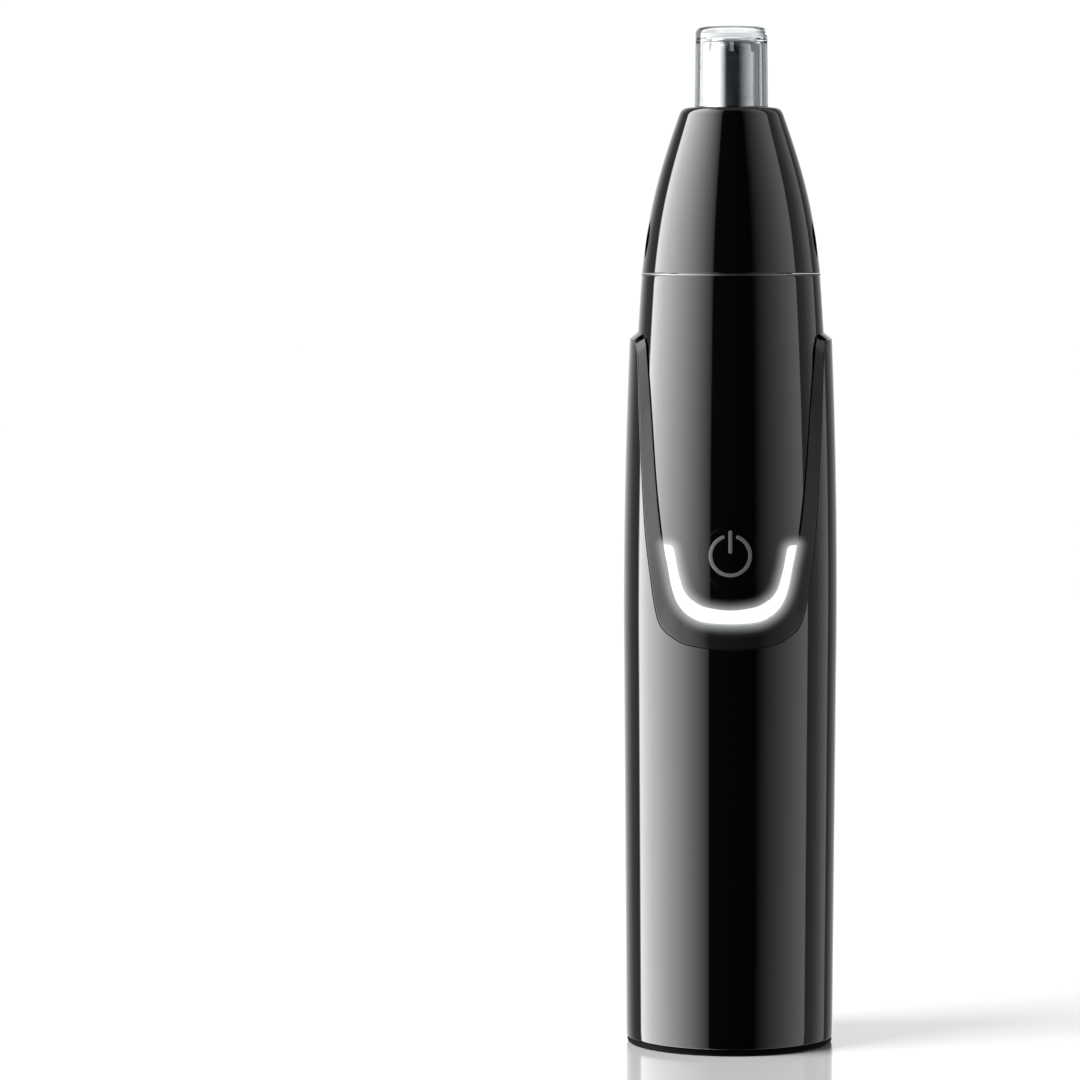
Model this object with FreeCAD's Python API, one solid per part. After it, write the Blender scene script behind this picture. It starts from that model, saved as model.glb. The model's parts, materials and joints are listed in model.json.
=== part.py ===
import FreeCAD, Part
import math
import os

os.makedirs("parts", exist_ok=True)
V = FreeCAD.Vector
UP = V(0, 0, 1)

# Rechargeable nose hair trimmer, in millimetres. It stands on its base at z = 0 and its front,
# with the power button and the light, faces -Y. The turning axis of everything is the Z axis.

# Driving dimensions
TOTAL_HEIGHT = 135.0
BARREL_R = 14.22
FIT = 0.05               # clearance between two pieces that sit in each other
WALL = 1.15              # general moulding wall

# Heights of the main splits
BASE_EDGE_Z = 0.9        # base cap's visible edge ends, barrel starts
RIM_Z = 94.7             # inner edge of the barrel's slanted rim
RIM_DROP = 0.75
NECK_Z = 102.2           # upper body ends, trim ring starts
RING_H = 0.24
HEAD_Z = NECK_Z + RING_H + FIT
NOSE_TOP_Z = 124.4
SPIGOT_TOP_Z = 107.0
DECK_Z = 97.0            # underside of the wall above the motor screws
TUBE_FOOT_Z = 50.4       # the inner tube hangs down to here inside the barrel

# Inner radii
TUBE_R = 12.3            # outside of the inner tube that carries everything
TUBE_BORE_R = TUBE_R - WALL
BARREL_BORE_R = TUBE_R + 2 * FIT
FRONT_CUT_Y = -4.25      # the barrel's front opening stops at this plane

# Button and board stack, measured along Y
BUTTON_Z = 65.5
BUTTON_R = 4.0
BUTTON_GAP = 0.07
BUTTON_FLANGE_R = 4.8
BUTTON_FLANGE_Y = (-10.95, -10.4)
SYMBOL_BACK_Y = -12.9
BOARD_T = 1.0
BOARD_BACK_Y = -5.0
BOARD_FRONT_Y = BOARD_BACK_Y - BOARD_T
BOARD_Z = (9.0, 68.6)
BOARD_SCREW_X = 6.6
BOARD_SCREW_Z = (18.0, 53.0)
LAMP_PLACES = ((0, 57.6), (-7.4, 64.3), (7.4, 64.3))

# Battery and motor
BATTERY_R = 7.0
BATTERY_Y = 2.6
BATTERY_Z = (14.0, 57.0)
MOTOR_R = 7.7
MOTOR_Z = (71.5, 90.0)
BULKHEAD_T = 1.6
CAN_WALL = 0.7
SHAFT_R = 0.75
MOTOR_SCREW_X = 4.5
TERMINAL_X = 4.2
DRIVE_HOLE_R = 4.6       # seat of the shaft seal

# Charging port, on the back of the board
PORT_Y = BOARD_BACK_Y + 1.68
PORT_SHELL = (8.94, 3.26)
PORT_Z = (1.4, 8.7)

# Cutting head
CUTTER_R = 3.7
CUTTER_WALL = 0.3
CUTTER_TOP_Z = 133.35
CUTTER_ROUND = 1.2
FLANGE_Z = 119.0
SLOT_COUNT = 8
SLOT_WIDTH = 0.6
SLOT_LOW_Z = 131.65
SPIGOT_R = 8.2
TWIST_DEG = 30


# ---------------------------------------------------------------- general helpers

def cylinder(radius, z0, z1, x=0.0, y=0.0):
    return Part.makeCylinder(radius, z1 - z0, V(x, y, z0), UP)


def tube(outer, inner, z0, z1, x=0.0, y=0.0):
    return cylinder(outer, z0, z1, x, y).cut(cylinder(inner, z0 - 1, z1 + 1, x, y))


def rod_y(radius, y0, y1, x, z):
    return Part.makeCylinder(radius, y1 - y0, V(x, y0, z), V(0, 1, 0))


def block(x, y, z):
    return Part.makeBox(x[1] - x[0], y[1] - y[0], z[1] - z[0], V(x[0], y[0], z[0]))


def spline(points):
    curve = Part.BSplineCurve()
    curve.interpolate(points)
    return curve.toShape()


def line(a, b):
    return Part.makeLine(a, b)


def lathe(edges):
    """Turn a closed outline in the XZ plane about Z."""
    face = Part.Face(Part.Wire(Part.__sortEdges__(edges)))
    return face.revolve(V(0, 0, 0), UP, 360)


def extrude_y(edges, y0, y1):
    """Extrude a closed outline in the XZ plane along Y."""
    face = Part.Face(Part.Wire(Part.__sortEdges__(edges)))
    return face.translated(V(0, y0, 0)).extrude(V(0, y1 - y0, 0))


def ring(major, minor, z):
    return Part.makeTorus(major, minor, V(0, 0, z), UP)


def polygon(corners):
    """A flat face in the XZ plane from its (x, z) corners."""
    points = [V(x, 0, z) for x, z in corners]
    return Part.Face(Part.makePolygon(points + points[:1]))


def stadium(width, height, z0, z1, y):
    """An upright prism with round ends, as wide along X as width."""
    end_x = (width - height) / 2
    shape = block((-end_x, end_x), (y - height / 2, y + height / 2), (z0, z1))
    for side in (-1, 1):
        shape = shape.fuse(cylinder(height / 2, z0, z1, side * end_x, y))
    return shape.removeSplitter()


def sector(outer, inner, z0, z1, start_deg, end_deg):
    """Part of a tube between two angles."""
    face = Part.Face(Part.makePolygon([V(inner, 0, z0), V(outer, 0, z0), V(outer, 0, z1),
                                       V(inner, 0, z1), V(inner, 0, z0)]))
    solid = face.revolve(V(0, 0, 0), UP, end_deg - start_deg)
    return solid.rotated(V(0, 0, 0), UP, start_deg)


def fused(shapes):
    whole = shapes[0]
    for shape in shapes[1:]:
        whole = whole.fuse(shape)
    return whole.removeSplitter()


def save(shape, name):
    solids = shape.Solids
    result = solids[0] if len(solids) == 1 else Part.makeCompound(solids)
    print(name, "solids", len(solids), "valid", result.isValid(), "mm3", round(result.Volume, 2))
    result.exportStep("parts/" + name + ".step")


# ---------------------------------------------------------------- shared outlines

def body_radius(z):
    """Outside of the glossy upper body and its front panel."""
    return 13.46 - 0.00082 * (z - 58) ** 2


def barrel_radius(z):
    """Outside of the barrel from the front opening's lower end up to the rim."""
    return BARREL_R - 0.00063 * (z - 59) ** 2


def barrel_side():
    """Barrel outline: a straight taper that swells into the curve of barrel_radius."""
    lower = [V(13.80, 0, BASE_EDGE_Z + 0.3), V(13.97, 0, 25), V(14.14, 0, 46)]
    upper = [V(barrel_radius(z), 0, z) for z in (59, 71, 82.5, RIM_Z - RIM_DROP)]
    return lower + upper


# Half outlines of the front, as (x, z) from the top to the middle of the U
PANEL_EDGE = [(11.10, 93.5), (10.50, 86.0), (9.67, 74.6), (8.79, 67.0), (8.25, 64.1),
              (7.80, 61.7), (7.19, 59.8), (6.28, 58.4), (5.07, 57.5), (3.33, 56.9), (0, 56.7)]
BARREL_EDGE = [(12.66, 93.6), (12.36, 92.3), (12.23, 90.8), (11.95, 82.0), (11.35, 69.9), (10.57, 63.0),
               (9.78, 58.05), (8.91, 56.0), (7.33, 54.75), (5.23, 53.9), (0, 53.4)]
LIGHT_INNER = [(7.28, 66.1), (6.92, 64.1), (6.53, 62.6), (6.05, 61.2), (5.20, 60.1),
               (3.80, 59.15), (2.0, 58.7), (0, 58.53)]
LIGHT_TOP_Z = 67.0


def offset_outline(points, distance):
    """Move a half outline outwards (or inwards, if negative) along its own normals."""
    moved = []
    for i, (x, z) in enumerate(points):
        before = points[max(i - 1, 0)]
        after = points[min(i + 1, len(points) - 1)]
        run = V(after[0] - before[0], 0, after[1] - before[1])
        if i == len(points) - 1:
            run = V(-1, 0, 0)
        run.normalize()
        moved.append((x - run.z * distance, z + run.x * distance))
    return moved


def mirrored(points):
    """The whole U, from the left top round to the right top."""
    left = [(-x, z) for x, z in points]
    return left + points[-2::-1]


def u_prism(points, top_z, y0, y1):
    """Everything inside a U outline, closed by a straight edge at top_z."""
    whole = [V(x, 0, z) for x, z in mirrored(points)]
    left_top = V(whole[0].x, 0, top_z)
    right_top = V(whole[-1].x, 0, top_z)
    edges = [spline(whole), line(left_top, right_top)]
    if top_z > whole[0].z:
        edges += [line(whole[0], left_top), line(right_top, whole[-1])]
    return extrude_y(edges, y0, y1)


def body_of_revolution(z0, z1, inner):
    """The upper body's outer form between two heights, with a bore."""
    steps = [z0 + (z1 - z0) * i / 6 for i in range(7)]
    side = [V(body_radius(z), 0, z) for z in steps]
    low, high = V(inner, 0, z0), V(inner, 0, z1)
    return lathe([spline(side), line(side[-1], high), line(high, low), line(low, side[0])])


# ---------------------------------------------------------------- outer casing

def outer_barrel():
    side = barrel_side()
    foot_r = side[0].x - 0.3
    foot_in, foot_out = V(BARREL_BORE_R, 0, BASE_EDGE_Z), V(foot_r, 0, BASE_EDGE_Z)
    rim_inner = V(BARREL_BORE_R, 0, RIM_Z)
    shell = lathe([spline(side), line(side[-1], rim_inner), line(rim_inner, foot_in),
                   line(foot_in, foot_out), line(foot_out, side[0])])
    opening = u_prism(BARREL_EDGE, BARREL_EDGE[0][1], -20, FRONT_CUT_Y)
    # above the sides of the U the opening narrows along the slanted rim
    mouth_x, mouth_z = BARREL_EDGE[0]
    throat_side = [(mouth_x, mouth_z - 0.01), (11.6, 94.35), (11.3, 96)]
    throat_face = polygon([(-x, z) for x, z in throat_side] + throat_side[::-1])
    throat = throat_face.translated(V(0, -20, 0)).extrude(V(0, 20 + FRONT_CUT_Y, 0))
    return shell.cut(opening).cut(throat)


def light_region(grow, y0, y1):
    """The light's U outline: between the panel's edge and the inner curve, with a round corner."""
    corner_r = 0.8
    top_z = LIGHT_TOP_Z + grow
    outer = u_prism(offset_outline(PANEL_EDGE[3:], grow), top_z, y0, y1)
    inner = offset_outline(LIGHT_INNER, -grow)
    whole = [V(x, 0, z) for x, z in mirrored(inner)]
    edges = [spline(whole)]
    for side in (-1, 1):
        start = V(side * inner[0][0], 0, inner[0][1])
        stop = V(start.x + side * corner_r, 0, top_z)
        middle = V(start.x + side * 0.2, 0, top_z - 0.3)
        edges.append(Part.Arc(start, middle, stop).toShape())
        edges.append(line(stop, V(stop.x, 0, top_z + 1)))
    reach = inner[0][0] + corner_r
    edges.append(line(V(-reach, 0, top_z + 1), V(reach, 0, top_z + 1)))
    return outer.cut(extrude_y(edges, y0 - 1, y1 + 1))


def light_feet(grow, y1):
    """Three light pipes that lead through the tube wall to the lamps on the board."""
    feet = []
    for x, z in LAMP_PLACES:
        feet.append(block((x - 0.5 - grow, x + 0.5 + grow), (-TUBE_R - 0.2, y1),
                          (z - 0.5 - grow, z + 0.5 + grow)))
    return feet


def light_guide():
    strip = light_region(0, -20, FRONT_CUT_Y)
    strip = strip.common(body_of_revolution(TUBE_FOOT_Z, NECK_Z, TUBE_R + FIT))
    inside = cylinder(TUBE_R + 0.4, 50, 70)
    feet = [foot.common(inside) for foot in light_feet(0, BOARD_FRONT_Y - 0.9)]
    return fused([strip] + feet)


def button_hole():
    hole = rod_y(BUTTON_R + BUTTON_GAP, -20, -5, 0, BUTTON_Z)
    pocket = rod_y(5.6, -11.0, -5, 0, BUTTON_Z)
    return hole.fuse(pocket)


def upper_body():
    form = body_of_revolution(TUBE_FOOT_Z, NECK_Z, TUBE_BORE_R)
    panel = u_prism(PANEL_EDGE, RIM_Z, -20, FRONT_CUT_Y)
    low = form.common(panel.fuse(cylinder(TUBE_R, 40, RIM_Z)))
    high = form.common(cylinder(20, RIM_Z - 0.2, NECK_Z + 1))
    body = low.fuse(high)
    bulkhead_top = MOTOR_Z[1] + BULKHEAD_T
    fill_r = TUBE_BORE_R + 0.3
    inside = [cylinder(fill_r, MOTOR_Z[1], bulkhead_top), tube(fill_r, 9.0, bulkhead_top, DECK_Z),
              cylinder(fill_r, DECK_Z, NECK_Z)]
    spigot = cylinder(SPIGOT_R, NECK_Z - 1, SPIGOT_TOP_Z)
    body = fused([body] + inside + [spigot])
    well, seal_seat = cylinder(6.0, DECK_Z + 2.5, 110), cylinder(DRIVE_HOLE_R, DECK_Z + 1, 100)
    body = body.cut(well).cut(seal_seat).cut(cylinder(2.6, 88, 100))
    o_ring_groove = tube(SPIGOT_R + 1, 7.0, 103.2, 104.5)
    body = body.cut(o_ring_groove)
    for angle in (0, 180):
        lug = sector(9.0, SPIGOT_R - 0.4, 105.0, 106.3, angle - 10, angle + 10)
        body = body.fuse(lug)
    for side in (-1, 1):
        body = body.cut(cylinder(1.1, 88, 93, side * MOTOR_SCREW_X))
    body = body.cut(button_hole()).cut(light_region(FIT, -20, FRONT_CUT_Y).cut(cylinder(TUBE_R, 40, 100)))
    for foot in light_feet(FIT, -5):
        body = body.cut(foot)
    return body.removeSplitter()


def bevel_band():
    """Satin frame that slopes from the panel's edge out to the barrel's edge."""
    steps = 24
    inner_curve = spline([V(x, 0, z) for x, z in mirrored(offset_outline(PANEL_EDGE, 0.09))])
    outer_curve = spline([V(x, 0, z) for x, z in mirrored(offset_outline(BARREL_EDGE, -0.04))])
    rails = []
    for curve, radius, raise_by in ((inner_curve, body_radius, 0.0), (outer_curve, barrel_radius, -0.03)):
        flat = curve.discretize(Number=2 * steps + 1)
        points = []
        for p in flat:
            r = radius(p.z) + raise_by
            points.append(V(p.x, -math.sqrt(r * r - p.x * p.x), p.z))
        rails.append(spline(points))
    slope = Part.makeRuledSurface(rails[0], rails[1])
    solid = slope.extrude(V(0, 2.6, 0))
    solid = solid.cut(cylinder(TUBE_R + FIT, 40, 100))
    solid = solid.cut(block((-20, 20), (FRONT_CUT_Y - FIT, 10), (40, 100)))
    # the tips end on a line parallel to the barrel's slanted rim
    for side in (-1, 1):
        tip = polygon([(side * x, z) for x, z in ((13.2, 92.8), (10.6, 94.3), (10.6, 96), (13.2, 96))])
        solid = solid.cut(tip.translated(V(0, -20, 0)).extrude(V(0, 20, 0)))
    return solid


def trim_ring():
    return tube(body_radius(NECK_Z) + 0.03, SPIGOT_R + FIT, NECK_Z, NECK_Z + RING_H)


def base_cap():
    edge_r = 13.65
    foot = cylinder(edge_r, 0, BASE_EDGE_Z)
    foot = foot.makeFillet(0.35, [edge for edge in foot.Edges
                                  if edge.Curve.TypeId == "Part::GeomCircle" and edge.BoundBox.ZMax < 0.1])
    cap = foot.fuse(tube(BARREL_BORE_R - FIT, BARREL_BORE_R - FIT - 1.3, BASE_EDGE_Z, 7.5))
    cap = cap.fuse(stadium(12.4, 6.6, 0.5, 6.0, PORT_Y))
    cap = cap.fuse(cylinder(TUBE_R - 0.4, 0.5, 2.0))
    cap = cap.cut(stadium(11.2, 5.6, -1, 1.1, PORT_Y))
    cap = cap.cut(stadium(PORT_SHELL[0] + 2 * FIT, PORT_SHELL[1] + 2 * FIT, 0.5, 7, PORT_Y))
    groove = tube(BARREL_BORE_R + 1, BARREL_BORE_R - 0.9, 3.4, 4.6)
    return cap.cut(groove).removeSplitter()


def base_o_ring():
    return ring(BARREL_BORE_R - FIT - 0.42, 0.38, 4.0)


# ---------------------------------------------------------------- button and lamps

def button_front():
    rod = rod_y(BUTTON_R, -20, BUTTON_FLANGE_Y[0] + FIT, 0, BUTTON_Z)
    return body_of_revolution(TUBE_FOOT_Z, 90, 9.0).common(rod)


def symbol_region(y1):
    """A ring with a gap at the top, and a bar in the gap, standing in front of y1."""
    ring_r, stroke, gap_deg = 2.62, 0.5, 22
    bar_low, bar_high = BUTTON_Z + 0.4, BUTTON_Z + 3.4
    half = stroke / 2
    ring_part = rod_y(ring_r + half, -20, y1, 0, BUTTON_Z)
    ring_part = ring_part.cut(rod_y(ring_r - half, -21, y1 + 1, 0, BUTTON_Z))
    reach = 6.0
    width = reach * math.tan(math.radians(gap_deg))
    wedge = polygon([(0, BUTTON_Z), (-width, BUTTON_Z + reach), (width, BUTTON_Z + reach)])
    ring_part = ring_part.cut(wedge.translated(V(0, -21, 0)).extrude(V(0, 30, 0)))
    pieces = [ring_part, block((-half, half), (-20, y1), (bar_low, bar_high))]
    for z in (bar_low, bar_high):
        pieces.append(rod_y(half, -20, y1, 0, z))
    for side in (-1, 1):
        x = side * ring_r * math.sin(math.radians(gap_deg))
        z = BUTTON_Z + ring_r * math.cos(math.radians(gap_deg))
        pieces.append(rod_y(half, -20, y1, x, z))
    return fused(pieces)


def power_button():
    flange = rod_y(BUTTON_FLANGE_R, *BUTTON_FLANGE_Y, 0, BUTTON_Z)
    button = fused([button_front(), flange])
    return button.cut(symbol_region(SYMBOL_BACK_Y))


def power_symbol():
    return button_front().common(symbol_region(SYMBOL_BACK_Y))


def button_membrane():
    sheet = rod_y(BUTTON_FLANGE_R - 0.2, BUTTON_FLANGE_Y[1], -9.9, 0, BUTTON_Z)
    return fused([sheet, rod_y(1.3, -10.0, -9.4, 0, BUTTON_Z)])


def switch_body():
    half = 2.25
    body = block((-half, half), (-8.6, BOARD_FRONT_Y), (BUTTON_Z - half, BUTTON_Z + half))
    return body.cut(rod_y(1.0, -9, -7.2, 0, BUTTON_Z))


def switch_plunger():
    return rod_y(0.95, -9.38, -7.6, 0, BUTTON_Z)


def circuit_board():
    board = block((-8.2, 8.2), (BOARD_FRONT_Y, BOARD_BACK_Y), BOARD_Z)
    board = board.cut(block((-9, -5.4), (-7, -4), (8, 13))).cut(block((5.4, 9), (-7, -4), (8, 13)))
    for z in BOARD_SCREW_Z:
        board = board.cut(rod_y(1.05, -7, -4, BOARD_SCREW_X, z))
    return board


def board_screws():
    screws = []
    x, slot_half = BOARD_SCREW_X, 1.1
    for z in BOARD_SCREW_Z:
        head = rod_y(1.6, BOARD_FRONT_Y - 0.9, BOARD_FRONT_Y, x, z)
        shank = rod_y(0.95, BOARD_FRONT_Y, BOARD_BACK_Y + 3.0, x, z)
        slot = block((x - slot_half, x + slot_half), (BOARD_FRONT_Y - 1, BOARD_FRONT_Y - 0.5),
                     (z - 0.15, z + 0.15))
        screws.append(head.fuse(shank).cut(slot).removeSplitter())
    return Part.makeCompound(screws)


def indicator_lamps():
    lamps = []
    half_x, half_z, height = 0.7, 0.8, 0.7
    for x, z in LAMP_PLACES:
        lamps.append(block((x - half_x, x + half_x), (BOARD_FRONT_Y - height, BOARD_FRONT_Y),
                           (z - half_z, z + half_z)))
    return Part.makeCompound(lamps)


def control_chips():
    chips = []
    height = 1.2
    for x, z, w, h in ((0, 42.0, 5.0, 4.0), (-1.0, 28.0, 3.2, 3.0)):
        chips.append(block((x - w / 2, x + w / 2), (BOARD_FRONT_Y - height, BOARD_FRONT_Y),
                           (z - h / 2, z + h / 2)))
    return Part.makeCompound(chips)


def usb_socket():
    outer = stadium(PORT_SHELL[0], PORT_SHELL[1], PORT_Z[0], PORT_Z[1], PORT_Y)
    inner = stadium(PORT_SHELL[0] - 0.6, PORT_SHELL[1] - 0.6, PORT_Z[0] - 1, PORT_Z[1] - 0.8, PORT_Y)
    return outer.cut(inner)


def usb_tongue():
    blade = block((-3.35, 3.35), (PORT_Y - 0.35, PORT_Y + 0.35), (PORT_Z[0] + 0.8, PORT_Z[1] - 0.8))
    root = stadium(PORT_SHELL[0] - 0.7, PORT_SHELL[1] - 0.7, PORT_Z[1] - 2.0, PORT_Z[1] - 0.8, PORT_Y)
    return fused([blade, root])


def port_plug():
    face = stadium(11.0, 5.4, 0.15, 1.05, PORT_Y)
    boss = stadium(8.1, 2.4, 1.0, 3.6, PORT_Y).cut(stadium(7.1, 1.1, 1.6, 4, PORT_Y))
    return fused([face, boss])


# ---------------------------------------------------------------- chassis, battery, motor

def chassis():
    half = cylinder(TUBE_BORE_R - FIT, 9.5, 88.0).cut(cylinder(9.4, 9, 89))
    half = half.cut(block((-20, 20), (-20, 2.0), (9, 89)))
    parts = [half]
    for z0, z1 in ((11.0, 12.6), (58.0, 59.6)):
        parts.append(cylinder(TUBE_BORE_R - FIT, z0, z1))
    seat_z = MOTOR_Z[0] - 1.5
    plate = block((-9.0, 9.0), (BOARD_BACK_Y, BOARD_BACK_Y + 0.5), (11.0, seat_z - 0.8))
    parts.append(plate)
    for side in (-1, 1):
        parts.append(block((side * 9.5 - 0.75, side * 9.5 + 0.75), (BOARD_BACK_Y, 4.0), (11.0, seat_z)))
    for z in BOARD_SCREW_Z:
        parts.append(block((5.0, 9.2), (BOARD_BACK_Y, BOARD_BACK_Y + 3.6), (z - 2, z + 2)))
    frame = fused(parts)
    frame = frame.common(cylinder(TUBE_BORE_R - FIT, 5, 100))
    frame = frame.cut(block((-20, 20), (-20, BOARD_BACK_Y), (9, 89)))
    cradle = tube(MOTOR_R + 1.2, MOTOR_R + FIT, seat_z - 0.8, 88.0)
    ribs = block((-1, 1), (MOTOR_R + 0.8, 10.0), (seat_z - 0.8, 88.0))
    seat = tube(MOTOR_R + 1.2, MOTOR_R - 1.6, seat_z - 0.8, seat_z)
    frame = fused([frame, cradle, ribs, seat])
    frame = frame.cut(cylinder(BATTERY_R + 0.1, BATTERY_Z[0] - 0.6, BATTERY_Z[1] + 0.6, 0, BATTERY_Y))
    for z in BOARD_SCREW_Z:
        frame = frame.cut(rod_y(1.0, -7, BOARD_BACK_Y + 3.3, BOARD_SCREW_X, z))
    frame = frame.cut(stadium(PORT_SHELL[0] + 0.4, PORT_SHELL[1] + 0.4, 5, 12.8, PORT_Y))
    lead_window = block((-6.0, 6.0), (BOARD_BACK_Y - 1, 4.0), (60.5, seat_z - 1.0))
    return frame.cut(lead_window)


def battery_cell():
    cell = cylinder(BATTERY_R, BATTERY_Z[0], BATTERY_Z[1], 0, BATTERY_Y)
    rims = [edge for edge in cell.Edges if edge.Curve.TypeId == "Part::GeomCircle"]
    return cell.makeFillet(0.5, rims)


def battery_tabs():
    tabs = []
    for z0, z1 in ((BATTERY_Z[0] - 0.3, BATTERY_Z[0]), (BATTERY_Z[1], BATTERY_Z[1] + 0.3)):
        tabs.append(block((-2.0, 2.0), (-1.5, 6.5), (z0, z1)))
    return Part.makeCompound(tabs)


def motor_can():
    can = tube(MOTOR_R, MOTOR_R - CAN_WALL, MOTOR_Z[0], MOTOR_Z[1] - CAN_WALL)
    face = cylinder(MOTOR_R, MOTOR_Z[1] - CAN_WALL, MOTOR_Z[1])
    boss = cylinder(2.4, MOTOR_Z[1], MOTOR_Z[1] + 1.4)
    can = fused([can, face, boss]).cut(cylinder(0.8, 80, 95))
    for side in (-1, 1):
        can = can.cut(cylinder(1.0, 85, 91, side * MOTOR_SCREW_X))
    return can


def motor_magnets():
    magnets = []
    for start in (20, 200):
        magnets.append(sector(MOTOR_R - CAN_WALL - FIT, MOTOR_R - 2.4, 74.0, 87.0, start, start + 140))
    return Part.makeCompound(magnets)


def motor_armature():
    core = cylinder(4.8, 75.0, 86.0).cut(cylinder(SHAFT_R, 70, 90))
    for i in range(3):
        slot = block((3.0, 6.0), (-0.6, 0.6), (74, 87)).rotated(V(0, 0, 0), UP, 60 + 120 * i)
        core = core.cut(slot)
    return core


def motor_end_cap():
    cap = cylinder(MOTOR_R, 70.0, MOTOR_Z[0]).fuse(cylinder(MOTOR_R - CAN_WALL - FIT, 71, 73.0))
    cap = cap.cut(cylinder(SHAFT_R + 0.1, 71, 75))
    for x in (-TERMINAL_X, TERMINAL_X):
        cap = cap.cut(block((x - 1.1, x + 1.1), (-0.3, 0.3), (69, 73.5)))
    return cap.removeSplitter()


def motor_terminals():
    tabs = []
    for x in (-TERMINAL_X, TERMINAL_X):
        tabs.append(block((x - 1.0, x + 1.0), (-0.2, 0.2), (67.8, 73.0)))
    return Part.makeCompound(tabs)


def motor_leads():
    """Two short wires, each down from a motor terminal and forward to the board."""
    leads = []
    wire_r, bend_r, drop_z, wire_y = 0.4, 2.0, 62.5, -0.7
    sag = bend_r * (1 - math.sqrt(0.5))
    for x in (-TERMINAL_X, TERMINAL_X):
        start = V(x, wire_y, 70.0)
        bend_a = V(x, wire_y, drop_z + bend_r)
        bend_mid = V(x, wire_y - sag, drop_z + sag)
        bend_b = V(x, wire_y - bend_r, drop_z)
        end = V(x, BOARD_BACK_Y, drop_z)
        bend = Part.Arc(bend_a, bend_mid, bend_b).toShape()
        path = Part.Wire([line(start, bend_a), bend, line(bend_b, end)])
        circle = Part.Wire(Part.makeCircle(wire_r, start, UP))
        leads.append(path.makePipeShell([circle], True, False))
    return Part.makeCompound(leads)


def motor_screws():
    screws = []
    top_z = MOTOR_Z[1] + BULKHEAD_T
    for x in (-MOTOR_SCREW_X, MOTOR_SCREW_X):
        head = cylinder(1.7, top_z, top_z + 1.2, x)
        shank = cylinder(0.95, MOTOR_Z[1] - 1.6, top_z, x)
        slots = block((x - 1.1, x + 1.1), (-0.2, 0.2), (top_z + 0.6, top_z + 2))
        slots = slots.fuse(block((x - 0.2, x + 0.2), (-1.1, 1.1), (top_z + 0.6, top_z + 2)))
        screws.append(head.fuse(shank).cut(slots).removeSplitter())
    return Part.makeCompound(screws)


def motor_shaft():
    return cylinder(SHAFT_R, 72.0, 99.0)


def drive_coupling():
    hub = cylinder(2.0, 92.3, 101.0).cut(cylinder(SHAFT_R, 92, 99.0))
    blade = block((-1.6, 1.6), (-0.6, 0.6), (100.9, 104.0))
    return fused([hub, blade])


def shaft_seal():
    return tube(DRIVE_HOLE_R - FIT, 2.05, DECK_Z + 1, DECK_Z + 2.4)


# ---------------------------------------------------------------- cutting head

def nose_side():
    """Outside of the nose cone, from its foot up to its rounded top edge."""
    return [V(r, 0, z) for r, z in ((11.87, HEAD_Z), (11.14, 108.0), (10.19, 112.8), (8.90, 117.6),
                                    (7.58, 121.56), (7.02, 123.2))]


def nose_cone():
    side = nose_side()
    shoulder = V(6.25, 0, NOSE_TOP_Z - 0.12)
    shoulder_mid = V(6.86, 0, NOSE_TOP_Z - 0.5)
    top_out = V(4.8, 0, NOSE_TOP_Z)
    top_in = V(2.0, 0, NOSE_TOP_Z)
    foot_in = V(2.0, 0, HEAD_Z)
    top_round = Part.Arc(side[-1], shoulder_mid, shoulder).toShape()
    cone = lathe([spline(side), top_round, line(shoulder, top_out), line(top_out, top_in),
                  line(top_in, foot_in), line(foot_in, side[0])])
    cone = cone.cut(cylinder(SPIGOT_R + FIT, 100, SPIGOT_TOP_Z + 0.4)).cut(cylinder(7.0, 107, 110.0))
    cone = cone.cut(cylinder(5.3, 109, FLANGE_Z + 0.85)).cut(cylinder(CUTTER_R + 2 * FIT, 115, 126))
    lug_room_r, lug_top = 9.15, 106.5
    for angle in (0, 180):
        start = angle - 14 - TWIST_DEG
        cone = cone.cut(sector(lug_room_r, SPIGOT_R - 0.2, 104.8, lug_top, start, angle + 12))
        cone = cone.cut(sector(lug_room_r, SPIGOT_R - 0.2, 100, lug_top, start, angle - 16))
    for side_x in (-1, 1):
        cone = cone.cut(grip_notch(side_x))
    return cone


def grip_notch(side_x):
    """A tall lens-shaped thumb notch in one side of the cone."""
    low, high, half_width, depth = 104.3, 109.6, 1.0, 0.7
    middle = (low + high) / 2
    bottom, top = V(0, 0, low), V(0, 0, high)
    edges = [Part.Arc(bottom, V(0, half_width, middle), top).toShape(),
             Part.Arc(top, V(0, -half_width, middle), bottom).toShape()]
    face = Part.Face(Part.Wire(edges)).translated(V(11.1 - depth, 0, 0))
    notch = face.extrude(V(3, 0, 0))
    return notch if side_x > 0 else notch.rotated(V(0, 0, 0), UP, 180)


def head_o_ring():
    return ring(7.6, 0.58, 103.85)


def cutter_retainer():
    body = tube(5.25, 3.3, 110.2, FLANGE_Z)
    web = tube(3.4, 1.66, 113.0, 115.0)
    return fused([body, web])


def round_end(low_r, top_r, low_z, top_z, round_r):
    """A solid peg, slightly tapered or straight, whose top edge is rounded."""
    if low_r == top_r:
        peg = cylinder(low_r, low_z, top_z)
    else:
        peg = Part.makeCone(low_r, top_r, top_z - low_z, V(0, 0, low_z), UP)
    top_edges = [edge for edge in peg.Edges if edge.BoundBox.ZMin > top_z - 0.01]
    return peg.makeFillet(round_r, top_edges)


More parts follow.
